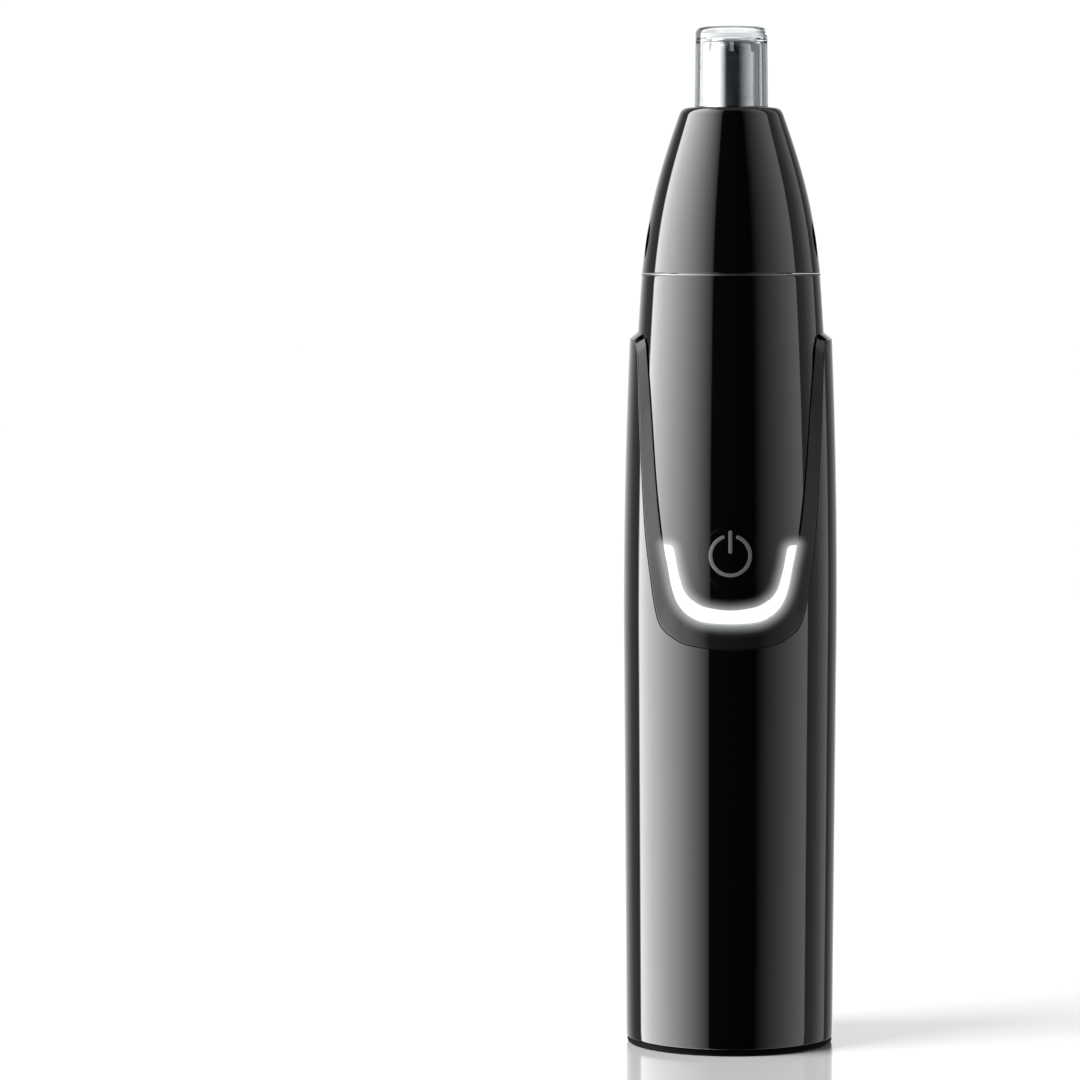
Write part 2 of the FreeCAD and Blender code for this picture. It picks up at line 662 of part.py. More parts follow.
def outer_cutter():
    inner_r = CUTTER_R - CUTTER_WALL
    skin = round_end(CUTTER_R, CUTTER_R, FLANGE_Z, CUTTER_TOP_Z, CUTTER_ROUND)
    inner_top, inner_round = CUTTER_TOP_Z - CUTTER_WALL, CUTTER_ROUND - CUTTER_WALL
    hollow = round_end(inner_r, inner_r, FLANGE_Z - 1, inner_top, inner_round)
    flange = cylinder(5.2, FLANGE_Z, FLANGE_Z + 0.8)
    collar = cylinder(CUTTER_R + 0.06, 123, 125.55)
    cutter = fused([skin, flange, collar]).cut(hollow)
    for i in range(SLOT_COUNT):
        slot = block((1.3, 6), (-SLOT_WIDTH / 2, SLOT_WIDTH / 2), (SLOT_LOW_Z, 136))
        cutter = cutter.cut(slot.rotated(V(0, 0, 0), UP, 360 / SLOT_COUNT * i))
    return cutter


def inner_cutter():
    reach = CUTTER_R - CUTTER_WALL - 0.06
    envelope = round_end(reach, reach, 124.0, CUTTER_TOP_Z - CUTTER_WALL - 0.06, CUTTER_ROUND - CUTTER_WALL)
    half, low = 0.25, 124.5
    blades = block((-5, 5), (-half, half), (low, 135)).fuse(block((-half, half), (-5, 5), (low, 135)))
    blades = blades.cut(cylinder(2.2, 124, 128.5))
    hub = tube(2.4, 1.6, 124.0, 129.0)
    lid = cylinder(2.4, 128.6, 129.2)
    return fused([blades.common(envelope), hub, lid])


def cutter_spindle():
    head = cylinder(3.2, 101.3, 106.0).cut(block((-1.75, 1.75), (-0.7, 0.7), (101, 104.3)))
    stem = cylinder(1.6, 105.5, 119.5)
    collar = cylinder(2.9, 119.4, 120.3)
    tip = cylinder(1.55, 120, 128.5)
    return fused([head, stem, collar, tip])


def cutter_spring():
    """Compression spring that holds the inner blades up against the slotted tube."""
    wire_r, coil_r, low, high = 0.22, 2.25, 120.55, 123.7
    helix = Part.makeHelix(0.9, high - low, coil_r)
    helix.translate(V(0, 0, low))
    section = Part.Wire(Part.makeCircle(wire_r, V(coil_r, 0, low), V(0, 1, 0)))
    return Part.Wire(helix).makePipeShell([section], True, True)


def clear_cap():
    skin = round_end(4.9, 4.76, NOSE_TOP_Z + 0.03, TOTAL_HEIGHT, 0.8)
    mouth_r, end_r = CUTTER_R + 0.28, CUTTER_R + 0.13
    hollow = round_end(mouth_r, end_r, NOSE_TOP_Z, CUTTER_TOP_Z + 0.22, CUTTER_ROUND - 0.1)
    return skin.cut(hollow)


PIECES = [outer_barrel, upper_body, bevel_band, light_guide, trim_ring, base_cap, base_o_ring, power_button,
          power_symbol, button_membrane, switch_body, switch_plunger, circuit_board, board_screws,
          indicator_lamps, control_chips, usb_socket, usb_tongue, port_plug, chassis, battery_cell,
          battery_tabs, motor_can, motor_magnets, motor_armature, motor_end_cap, motor_terminals, motor_leads,
          motor_screws, motor_shaft, drive_coupling, shaft_seal, nose_cone, head_o_ring, cutter_retainer,
          outer_cutter, inner_cutter, cutter_spindle, cutter_spring, clear_cap]

for piece in PIECES:
    save(piece(), piece.__name__)
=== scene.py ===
import json
import math

import bmesh
import bpy
import numpy as np
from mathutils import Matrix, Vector


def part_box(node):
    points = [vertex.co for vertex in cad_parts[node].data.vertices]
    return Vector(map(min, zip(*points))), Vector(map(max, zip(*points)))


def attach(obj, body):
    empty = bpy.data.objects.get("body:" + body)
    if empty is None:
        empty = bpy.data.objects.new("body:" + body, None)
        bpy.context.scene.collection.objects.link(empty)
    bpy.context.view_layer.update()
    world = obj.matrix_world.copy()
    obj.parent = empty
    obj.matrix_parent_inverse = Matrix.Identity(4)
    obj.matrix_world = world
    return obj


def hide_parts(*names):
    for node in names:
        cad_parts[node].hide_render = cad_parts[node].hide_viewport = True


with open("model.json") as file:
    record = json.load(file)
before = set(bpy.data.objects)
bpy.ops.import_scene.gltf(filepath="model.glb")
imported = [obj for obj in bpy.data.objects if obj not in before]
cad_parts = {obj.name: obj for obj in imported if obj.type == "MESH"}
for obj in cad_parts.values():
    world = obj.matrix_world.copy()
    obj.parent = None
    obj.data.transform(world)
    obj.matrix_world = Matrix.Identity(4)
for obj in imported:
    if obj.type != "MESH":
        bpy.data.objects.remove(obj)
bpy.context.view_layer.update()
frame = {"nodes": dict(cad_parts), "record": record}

# Everything is worked out in millimetres and becomes metres when a mesh is made.
MM = 0.001


def limits(node):
    low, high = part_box(node)
    return np.array(low) / MM, np.array(high) / MM


# ---------------------------------------------------------------- places taken from the frame

BARREL_LOW, BARREL_HIGH = limits("outer_barrel")
NOSE_LOW, NOSE_HIGH = limits("nose_cone")
RING_LOW, RING_HIGH = limits("trim_ring")
CAP_LOW, CAP_HIGH = limits("clear_cap")
CUTTER_LOW, CUTTER_HIGH = limits("outer_cutter")
BUTTON_LOW, BUTTON_HIGH = limits("power_button")
BASE_HIGH = limits("base_cap")[1]
PLUG_LOW, PLUG_HIGH = limits("port_plug")

BASE_EDGE_Z = BARREL_LOW[2]
RIM_Z = BARREL_HIGH[2]
NECK_Z = RING_LOW[2]
TUBE_FOOT_Z = limits("upper_body")[0][2]
SPIGOT_TOP_Z = limits("upper_body")[1][2]
BUTTON_Z = (BUTTON_LOW[2] + BUTTON_HIGH[2]) / 2
BARREL_R = BARREL_HIGH[0]

TUBE_R = 12.3
TUBE_BORE_R = 11.15
BARREL_BORE_R = 12.4
SPIGOT_R = 8.2
RIM_DROP = 0.75
RIM_DROOP = 0.2
DROOP_FOOT_Z = 93.2
FRONT_CUT_Y = 4.25
BUTTON_R = 4.0
BUTTON_GAP = 0.04
POCKET_R = 5.6
POCKET_FRONT_Y = -11.0
EDGE_ROUND = 0.12
BARREL_EDGE_ROUND = 0.05
CUTTER_R = 3.7

# Half outlines of the front, as (x, z) from the top to the middle of the U
PANEL_EDGE = [(11.10, 93.5), (10.50, 86.0), (9.67, 74.6), (8.79, 67.0), (8.25, 64.1),
              (7.80, 61.7), (7.19, 59.8), (6.28, 58.4), (5.07, 57.5), (3.33, 56.9), (0, 56.7)]
BARREL_EDGE = [(12.66, 93.6), (12.36, 92.3), (12.23, 90.8), (11.95, 82.0), (11.35, 69.9), (10.57, 63.0),
               (9.78, 58.05), (8.91, 56.0), (7.33, 54.75), (5.23, 53.9), (0, 53.4)]
LIGHT_INNER = [(7.28, 66.1), (6.92, 64.1), (6.53, 62.6), (6.05, 61.2), (5.20, 60.1),
               (3.80, 59.15), (2.0, 58.7), (0, 58.53)]


def body_radius(z):
    """Outside of the glossy upper body and its front panel."""
    return 13.46 - 0.00082 * (z - 58) ** 2


def barrel_radius(z):
    """Outside of the barrel: a straight taper below, which swells into a curve above."""
    taper = 13.79 + 0.0075 * (z - 1)
    swell = BARREL_R - 0.00063 * (z - 59) ** 2
    blend = np.clip((z - 44) / 14, 0, 1)
    blend = blend * blend * (3 - 2 * blend)
    return np.minimum(taper * (1 - blend) + swell * blend, BARREL_R)


# ---------------------------------------------------------------- curves

def smooth_curve(points, count):
    """A Catmull-Rom curve through points, resampled to count points evenly spaced along it."""
    p = np.array(points, float)
    p = np.vstack([2 * p[0] - p[1], p, 2 * p[-1] - p[-2]])
    dense = []
    for i in range(1, len(p) - 2):
        t = np.linspace(0, 1, 40, endpoint=False)[:, None]
        a, b, c, d = p[i - 1], p[i], p[i + 1], p[i + 2]
        dense.append(0.5 * (2 * b + (c - a) * t + (2 * a - 5 * b + 4 * c - d) * t ** 2
                            + (3 * b - a - 3 * c + d) * t ** 3))
    dense = np.vstack(dense + [p[-2:-1]])
    return even(dense, count)


def even(points, count):
    """A polyline resampled to count points evenly spaced along it."""
    steps = np.linalg.norm(np.diff(points, axis=0), axis=1)
    along = np.concatenate([[0], np.cumsum(steps)])
    wanted = np.linspace(0, along[-1], count)
    return np.stack([np.interp(wanted, along, points[:, k]) for k in range(points.shape[1])], axis=1)


def half_u(points, count):
    """One side of a U outline, level across the middle, from the top down to x = 0."""
    whole = list(points) + [(-x, z) for x, z in points[-2::-1]]
    curve = smooth_curve(whole, 8 * count)
    half = curve[:4 * count]
    half = np.vstack([half, [[0.0, points[-1][1]]]])
    return even(half, count)


def offset(curve, distance):
    """A half U moved outwards along its own normals; the last point stays on the middle."""
    run = np.gradient(curve, axis=0)
    run /= np.linalg.norm(run, axis=1)[:, None]
    run[-1] = (-1, 0)
    moved = curve + distance * np.stack([-run[:, 1], run[:, 0]], axis=1)
    moved[-1, 0] = 0
    return moved


def distance_to(curve, x, z):
    """Shortest distance in the XZ plane from each point to a half U and its mirror image."""
    points = np.stack([np.abs(x), z], axis=-1).reshape(-1, 1, 2)
    a, b = curve[:-1], curve[1:]
    run = b - a
    best = np.full(len(points), 1e9)
    for start in range(0, len(points), 20000):
        part = points[start:start + 20000]
        t = np.clip(((part - a) * run).sum(-1) / (run ** 2).sum(-1), 0, 1)
        near = a + t[..., None] * run
        best[start:start + 20000] = np.sqrt(((part - near) ** 2).sum(-1)).min(1)
    return best.reshape(np.shape(x))


def bent(start, bend, stop, count):
    """A curve from start to stop that is drawn towards the bend point."""
    steps = np.linspace(0, 1, count)
    return np.array([(1 - t) ** 2 * start + 2 * t * (1 - t) * bend + t * t * stop for t in steps])


def rounding(distance, radius):
    """How far a surface drops near an edge that is rounded with this radius."""
    inside = np.clip(radius - distance, 0, radius)
    return radius - np.sqrt(radius ** 2 - inside ** 2)


# ---------------------------------------------------------------- meshes

def piece(name, points, faces, body=None, slot=None, nodes=()):
    """A closed mesh piece that stands for CAD nodes, or a cutter when it has no body."""
    mesh = bpy.data.meshes.new(name)
    mesh.from_pydata((np.array(points, float) * MM).tolist(), [], faces)
    clean = bmesh.new()
    clean.from_mesh(mesh)
    bmesh.ops.remove_doubles(clean, verts=clean.verts, dist=0.0000015)
    bmesh.ops.dissolve_degenerate(clean, edges=clean.edges, dist=0.0000005)
    bmesh.ops.recalc_face_normals(clean, faces=clean.faces)
    clean.to_mesh(mesh)
    clean.free()
    made = bpy.data.objects.new(name, mesh)
    bpy.context.scene.collection.objects.link(made)
    smooth(made)
    if body:
        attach(made, body)
        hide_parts(*nodes)
        mesh.materials.append(MATERIALS[slot])
    return made


def smooth(made, angle=32):
    made.data.shade_smooth()
    made.data.set_sharp_from_angle(angle=math.radians(angle))


def grid(rows, columns, first=0, wrap_rows=False, wrap_columns=False):
    faces = []
    for i in range(rows if wrap_rows else rows - 1):
        k = (i + 1) % rows
        for j in range(columns if wrap_columns else columns - 1):
            m = (j + 1) % columns
            faces.append((first + i * columns + j, first + i * columns + m,
                          first + k * columns + m, first + k * columns + j))
    return faces


def closed_grid(rows, columns):
    """Faces of a tube made of rows, with both its ends closed."""
    faces = grid(rows, columns, wrap_columns=True)
    faces.append(tuple(range(columns)))
    faces.append(tuple((rows - 1) * columns + k for k in reversed(range(columns))))
    return faces


def around(radius, z, angle):
    """A point at an angle from the front, which is -Y, towards +X."""
    radius, z, angle = np.broadcast_arrays(radius, z, angle)
    return np.stack([radius * np.sin(angle), -radius * np.cos(angle), z], axis=-1)


def turned(profile, segments=160):
    """Points and faces of a closed (radius, z) outline turned about Z."""
    profile = np.array(profile, float)
    angles = np.linspace(0, 2 * math.pi, segments, endpoint=False)
    points = around(profile[:, :1], profile[:, 1:], angles[None, :])
    return points.reshape(-1, 3), grid(len(profile), segments, wrap_rows=True, wrap_columns=True)


def rounded(corners, steps=5):
    """An outline whose corners (r, z, radius) are replaced by arcs of that radius."""
    outline = []
    count = len(corners)
    for i, (r, z, radius) in enumerate(corners):
        here = np.array((r, z))
        if radius == 0:
            outline.append(here)
            continue
        back = np.array(corners[i - 1][:2]) - here
        ahead = np.array(corners[(i + 1) % count][:2]) - here
        back_unit = back / np.linalg.norm(back)
        ahead_unit = ahead / np.linalg.norm(ahead)
        half = math.acos(np.clip(back_unit @ ahead_unit, -1, 1)) / 2
        reach = radius / math.tan(half)
        inward = (back_unit + ahead_unit) / np.linalg.norm(back_unit + ahead_unit)
        centre = here + inward * radius / math.sin(half)
        start, stop = here + back_unit * reach - centre, here + ahead_unit * reach - centre
        sweep = math.pi - 2 * half
        for t in np.linspace(0, 1, steps + 1):
            weight_a = math.sin((1 - t) * sweep) / math.sin(sweep)
            weight_b = math.sin(t * sweep) / math.sin(sweep)
            outline.append(centre + weight_a * start + weight_b * stop)
    return np.array(outline)


def fine(outline, longest=1.0):
    """Long straight runs of an outline divided into shorter ones."""
    result = []
    for a, b in zip(outline, np.roll(outline, -1, axis=0)):
        parts = max(1, int(np.linalg.norm(b - a) // longest))
        for t in range(parts):
            result.append(a + (b - a) * t / parts)
    return np.array(result)


def cut(made, cutters, slot):
    """Take closed cutter meshes away from a piece, and leave it as one plain mesh of one material."""
    for cutter in cutters:
        modifier = made.modifiers.new("cut", "BOOLEAN")
        modifier.object = cutter
        modifier.operation = "DIFFERENCE"
        modifier.solver = "EXACT"
    graph = bpy.context.evaluated_depsgraph_get()
    result = bpy.data.meshes.new_from_object(made.evaluated_get(graph))
    made.modifiers.clear()
    made.data = result
    for cutter in cutters:
        bpy.data.objects.remove(cutter)
    smooth(made)
    made.data.materials.clear()
    made.data.materials.append(MATERIALS[slot])


def true_normals(made, radius, low, high, tolerance=0.004):
    """Give vertices that lie on a turned surface that surface's exact normal, so that it reflects cleanly."""
    mesh = made.data
    points = np.empty(len(mesh.vertices) * 3)
    mesh.vertices.foreach_get("co", points)
    points = points.reshape(-1, 3) / MM
    reach = np.hypot(points[:, 0], points[:, 1])
    z = np.clip(points[:, 2], low, high)
    slope = (radius(z + 0.01) - radius(z - 0.01)) / 0.02
    divisor = np.maximum(reach, 1e-6)
    exact = np.stack([points[:, 0] / divisor, points[:, 1] / divisor, -slope], axis=1)
    exact /= np.linalg.norm(exact, axis=1)[:, None]
    in_height = (points[:, 2] > low - 0.01) & (points[:, 2] < high + 0.01)
    on_surface = (np.abs(reach - radius(z)) < tolerance) & in_height
    normals = np.empty(len(mesh.loops) * 3)
    mesh.corner_normals.foreach_get("vector", normals)
    normals = normals.reshape(-1, 3)
    vertex = np.empty(len(mesh.loops), int)
    mesh.loops.foreach_get("vertex_index", vertex)
    close = (normals * exact[vertex]).sum(1) > 0.85
    use = on_surface[vertex] & close
    normals[use] = exact[vertex][use]
    mesh.normals_split_custom_set(normals.tolist())


def edge_spaced(count, fine_steps, total):
    """Positions 0 to 1 that bunch near both ends, for a row of this length in mm."""
    near = np.array(fine_steps) / total
    middle = np.linspace(near[-1], 1 - near[-1], count)
    return np.concatenate([near[:-1], middle, 1 - near[-2::-1]])


NEAR_EDGE = (0, 0.02, 0.045, 0.075, 0.12, 0.2, 0.35, 0.6, 0.95, 1.4)


# ---------------------------------------------------------------- shader helpers

def feed(tree, source, target):
    """Give a socket either a link or a plain value."""
    if isinstance(source, bpy.types.NodeSocket):
        tree.links.new(source, target)
    else:
        target.default_value = source


def add_node(tree, kind, links=(), **values):
    made = tree.nodes.new("ShaderNode" + kind)
    for key, value in values.items():
        setattr(made, key, value)
    for socket, source in links:
        feed(tree, source, made.inputs[socket])
    return made


class Shader:
    """A small wrapper round a node tree, to keep the material functions short."""

    def __init__(self, name, slot_colour=(0.5, 0.5, 0.5)):
        self.material = bpy.data.materials.new(name)
        self.material.use_nodes = True
        self.material.diffuse_color = (*slot_colour[:3], 1)
        self.tree = self.material.node_tree
        self.surface = self.tree.nodes["Principled BSDF"]

    def node(self, kind, links=(), **values):
        return add_node(self.tree, kind, links, **values)

    def link(self, source, target):
        feed(self.tree, source, target)

    def set(self, **values):
        for key, value in values.items():
            self.surface.inputs[key.replace("_", " ")].default_value = value

    def place(self, scale=(1, 1, 1)):
        """Object coordinates, stretched."""
        where = self.node("TexCoord").outputs["Object"]
        return self.node("Mapping", [("Vector", where), ("Scale", scale)]).outputs["Vector"]

    def noise(self, scale, detail=3.0, stretch=(1, 1, 1)):
        return self.node("TexNoise", [("Vector", self.place(stretch)), ("Scale", scale), ("Detail", detail),
                                      ("Roughness", 0.55)]).outputs["Fac"]

    def range(self, value, low, high, start=0.3, stop=0.7):
        return self.node("MapRange", [("Value", value), ("From Min", start), ("From Max", stop),
                                      ("To Min", low), ("To Max", high)]).outputs["Result"]

    def mixed(self, factor, first, second):
        mix = self.node("Mix", data_type="RGBA")
        self.link(factor, mix.inputs[0])
        self.link(first, mix.inputs[6])
        self.link(second, mix.inputs[7])
        return mix.outputs[2]

    def bump(self, height, strength, distance):
        made = self.node("Bump", [("Height", height), ("Strength", strength), ("Distance", distance)])
        self.link(made.outputs["Normal"], self.surface.inputs["Normal"])

    def colour(self, value):
        self.link(value, self.surface.inputs["Base Color"])

    def roughness(self, value):
        self.link(value, self.surface.inputs["Roughness"])


def rgba(colour, factor=1.0):
    return (*[c * factor for c in colour[:3]], 1.0)


def gloss_plastic(name, colour):
    """Polished moulded plastic with a faint unevenness and very fine dust-like haze."""
    shader = Shader(name, colour)
    shader.set(IOR=1.5, Specular_IOR_Level=0.5)
    shader.colour(shader.mixed(shader.noise(90, 2), rgba(colour, 0.85), rgba(colour, 1.15)))
    shader.roughness(shader.range(shader.noise(420, 5), 0.02, 0.05))
    return shader


def satin_plastic(name, colour, rough=(0.36, 0.46), grain=0.0):
    """Fine spark-eroded moulding texture."""
    shader = Shader(name, colour)
    shader.set(IOR=1.49)
    shader.colour(shader.mixed(shader.noise(300, 4), rgba(colour, 0.9), rgba(colour, 1.1)))
    shader.roughness(shader.range(shader.noise(900, 3), *rough))
    shader.bump(shader.noise(9000, 2), 0.25, 0.00002 + grain)
    return shader


def frame_satin(name, colour):
    """Dark satin of the sloping frame, duller than the polished body."""
    shader = satin_plastic(name, rgba(colour, 0.5), (0.09, 0.13))
    shader.set(Specular_IOR_Level=0.3)
    return shader


def deep_black(name, colour):
    """Matt black of the base edge, which hardly mirrors anything."""
    shader = satin_plastic(name, rgba(colour, 0.1), (0.45, 0.55))
    shader.set(Specular_IOR_Level=0.02)
    return shader


def rubber(name, colour):
    """Dull rubber or silicone with a slight sheen."""
    shader = satin_plastic(name, colour, (0.6, 0.75), 0.00001)
    shader.set(Sheen_Weight=0.15, Sheen_Roughness=0.5)
    return shader


def brushed_metal(name, colour, rough=(0.16, 0.26), stretch=(1, 1, 0.04), scale=2600):
    """Metal with fine lines drawn along one axis."""
    shader = Shader(name, colour)
    shader.set(Metallic=1.0)
    streaks = shader.noise(scale, 4, stretch)
    shader.colour(shader.mixed(streaks, rgba(colour, 0.86), rgba(colour, 1.08)))
    shader.roughness(shader.range(streaks, *rough))
    shader.bump(streaks, 0.3, 0.000004)
    return shader


def chrome(name, colour):
    """Dark satin chrome of the trim ring."""
    shader = Shader(name, colour)
    shader.set(Metallic=1.0)
    shader.colour(rgba(colour, 0.4))
    shader.roughness(shader.range(shader.noise(700, 3), 0.28, 0.36))
    return shader


def clear_plastic(name, colour):
    """Clear moulded polycarbonate, with painted shade: its tint darkens where seen at a glancing angle."""
    shader = Shader(name, colour)
    shader.set(Transmission_Weight=1.0, IOR=1.49)
    # painted shade: the tint darkens with the glancing angle to outline the cap
    facing = shader.node("LayerWeight", [("Blend", 0.5)]).outputs["Facing"]
    edge = shader.range(facing, 0.0, 1.0, 0.3, 0.52)
    shader.colour(shader.mixed(edge, (0.92, 0.955, 0.97, 1), (0.13, 0.14, 0.15, 1)))
    shader.roughness(shader.range(shader.noise(500, 3), 0.0, 0.012))
    return shader


def cutter_metal(name, colour):
    """Satin steel of the slotted tube, with lines round the tube and a dark band just below its top."""
    shader = brushed_metal(name, rgba(colour, 0.4), (0.16, 0.22), (0.05, 0.05, 1), 9000)
    steel = shader.surface.inputs["Base Color"].links[0].from_socket
    height = shader.node("SeparateXYZ", [(0, shader.place())]).outputs["Z"]
    top = CUTTER_HIGH[2] * MM
    edge = shader.range(height, 0.0, 1.0, top - 0.0008, top - 0.0004)
    shader.colour(shader.mixed(edge, steel, rgba(colour, 0.08)))
    return shader


def blade_metal(name, colour):
    """Pale ground steel of the turning blades, seen through the slots."""
    shader = brushed_metal(name, colour, (0.35, 0.5))
    shader.set(Metallic=0.3)
    return shader


def lit_guide(name, colour):
    """Milky light pipe, lit from behind, a touch cooler in random patches."""
    shader = Shader(name, colour)
    shader.set(Base_Color=(0.05, 0.05, 0.05, 1), Roughness=0.3, Emission_Strength=0.97)
    glow = shader.mixed(shader.noise(260, 2), (0.95, 0.98, 1.0, 1), (1.0, 1.0, 1.0, 1))
    shader.link(glow, shader.surface.inputs["Emission Color"])
    return shader


def painted_glow_near_light(shader, strength, fall):
    """Painted glow on the plastic beside the lit U, as emission from the mesh's own glow attribute."""
    glow = shader.node("Attribute", attribute_name="glow").outputs["Fac"]
    soft = shader.node("Math", [(0, glow), (1, fall)], operation="POWER").outputs[0]
    scaled = shader.node("Math", [(0, soft), (1, strength)], operation="MULTIPLY").outputs[0]
    shader.set(Emission_Color=(0.95, 0.98, 1.0, 1))
    shader.link(scaled, shader.surface.inputs["Emission Strength"])
    return shader


def board_face(name, colour):
    """Solder mask with darker traces under it."""
    shader = Shader(name, colour)
    traces = shader.node("TexBrick", [("Vector", shader.place()), ("Scale", 420.0), ("Mortar Size", 0.03),
                                      ("Color1", rgba(colour, 0.9)), ("Color2", rgba(colour, 1.1)),
                                      ("Mortar", rgba(colour, 1.9))]).outputs["Color"]
    shader.colour(traces)
    shader.roughness(shader.range(shader.noise(500, 3), 0.28, 0.4))
    return shader


def wound_copper(name, colour):
    """Enamelled wire of the motor's windings."""
    return brushed_metal(name, colour, (0.25, 0.4), (1, 1, 0.1), 3000)


def slot_materials():
    makers = {
        # the satin frame and the gloss body both get a painted glow near the lit U
        "satin_grey": lambda n, c: painted_glow_near_light(frame_satin(n, c), 0.45, 2.0),
        "symbol_grey": lambda n, c: satin_plastic(n, rgba(c, 0.55)),
        "light_white": lit_guide, "chrome_trim": chrome, "satin_black": deep_black,
        "rubber_black": rubber, "silicone_grey": rubber, "silicone_black": rubber,
        "switch_black": satin_plastic, "board_green": board_face,
        "screw_steel": brushed_metal, "lamp_white": gloss_plastic, "chip_black": satin_plastic,
        "socket_steel": brushed_metal, "chassis_white": satin_plastic, "battery_wrap": gloss_plastic,
        "nickel": brushed_metal, "motor_steel": brushed_metal, "magnet_grey": satin_plastic,
        "copper": wound_copper, "motor_plastic": satin_plastic, "brass_tab": brushed_metal,
        "wire_red": gloss_plastic, "drive_white": satin_plastic, "cutter_steel": cutter_metal,
        "blade_steel": blade_metal, "spring_steel": brushed_metal, "clear_plastic": clear_plastic,
        "gloss_black": lambda n, c: painted_glow_near_light(gloss_plastic(n, rgba(c, 0.25)), 0.4, 2.1),
    }
    made = {}
    for entry in frame["record"]["materials"]:
        slot = entry["slot"]
        made[slot] = makers[slot](slot, entry["base_color"]).material
    return made


MATERIALS = slot_materials()


def dress_cad_nodes():
    """Give every carried-over CAD node the material of its record slot."""
    for entry in frame["record"]["subparts"]:
        node = frame["nodes"][entry["node"]]
        node.data.materials.clear()
        node.data.materials.append(MATERIALS[entry["material_slot"]])


dress_cad_nodes()


# ---------------------------------------------------------------- shared front curves

U_STEPS = 120
PANEL_U = half_u(PANEL_EDGE, U_STEPS)
BARREL_U = half_u(BARREL_EDGE, U_STEPS)
LIGHT_TOP_Z = 67.0


def light_curves():
    """The light's outer and inner half outlines, each from the top of an arm to the middle."""
    outer = even(offset(PANEL_U, -0.07)[PANEL_U[:, 1] <= LIGHT_TOP_Z], 110)
    outer[0, 1] = LIGHT_TOP_Z
    inner = half_u(LIGHT_INNER, 110)
    start, stop = np.array((outer[0, 0] - 0.62, LIGHT_TOP_Z)), inner[0]
    bend = np.array((stop[0] + 0.14, LIGHT_TOP_Z))
    return outer, even(np.vstack([bent(start, bend, stop, 9)[:-1], inner]), 110)


LIGHT_OUTER_U, LIGHT_INNER_U = light_curves()


def add_painted_glow_weight(made, reach=1.6):
    """Store how near each vertex is to the lit U, from 0 to 1, as the weight of the painted glow."""
    mesh = made.data
    points = np.empty(len(mesh.vertices) * 3)
    mesh.vertices.foreach_get("co", points)
    points = points.reshape(-1, 3) / MM
    near = np.minimum(distance_to(LIGHT_OUTER_U, points[:, 0], points[:, 2]),
                      distance_to(LIGHT_INNER_U, points[:, 0], points[:, 2]))
    arm_end = np.stack([LIGHT_OUTER_U[0], LIGHT_INNER_U[0]])
    near = np.minimum(near, distance_to(arm_end, points[:, 0], points[:, 2]))
    value = np.clip(1 - near / reach, 0, 1)
    value[points[:, 1] > -5] = 0
    attribute = mesh.attributes.new("glow", "FLOAT", "POINT")
    attribute.data.foreach_set("value", value.astype(np.float32))


# ---------------------------------------------------------------- casing pieces

def with_rim_droop(points):
    """Lower the rim a little towards its two front tips."""
    forward = np.clip(-points[..., 1] / FRONT_CUT_Y, 0, 1.1)
    share = np.clip((points[..., 2] - DROOP_FOOT_Z) / (RIM_Z - RIM_DROP - DROOP_FOOT_Z), 0, 1)
    points[..., 2] -= RIM_DROOP * forward ** 2 * share
    return points


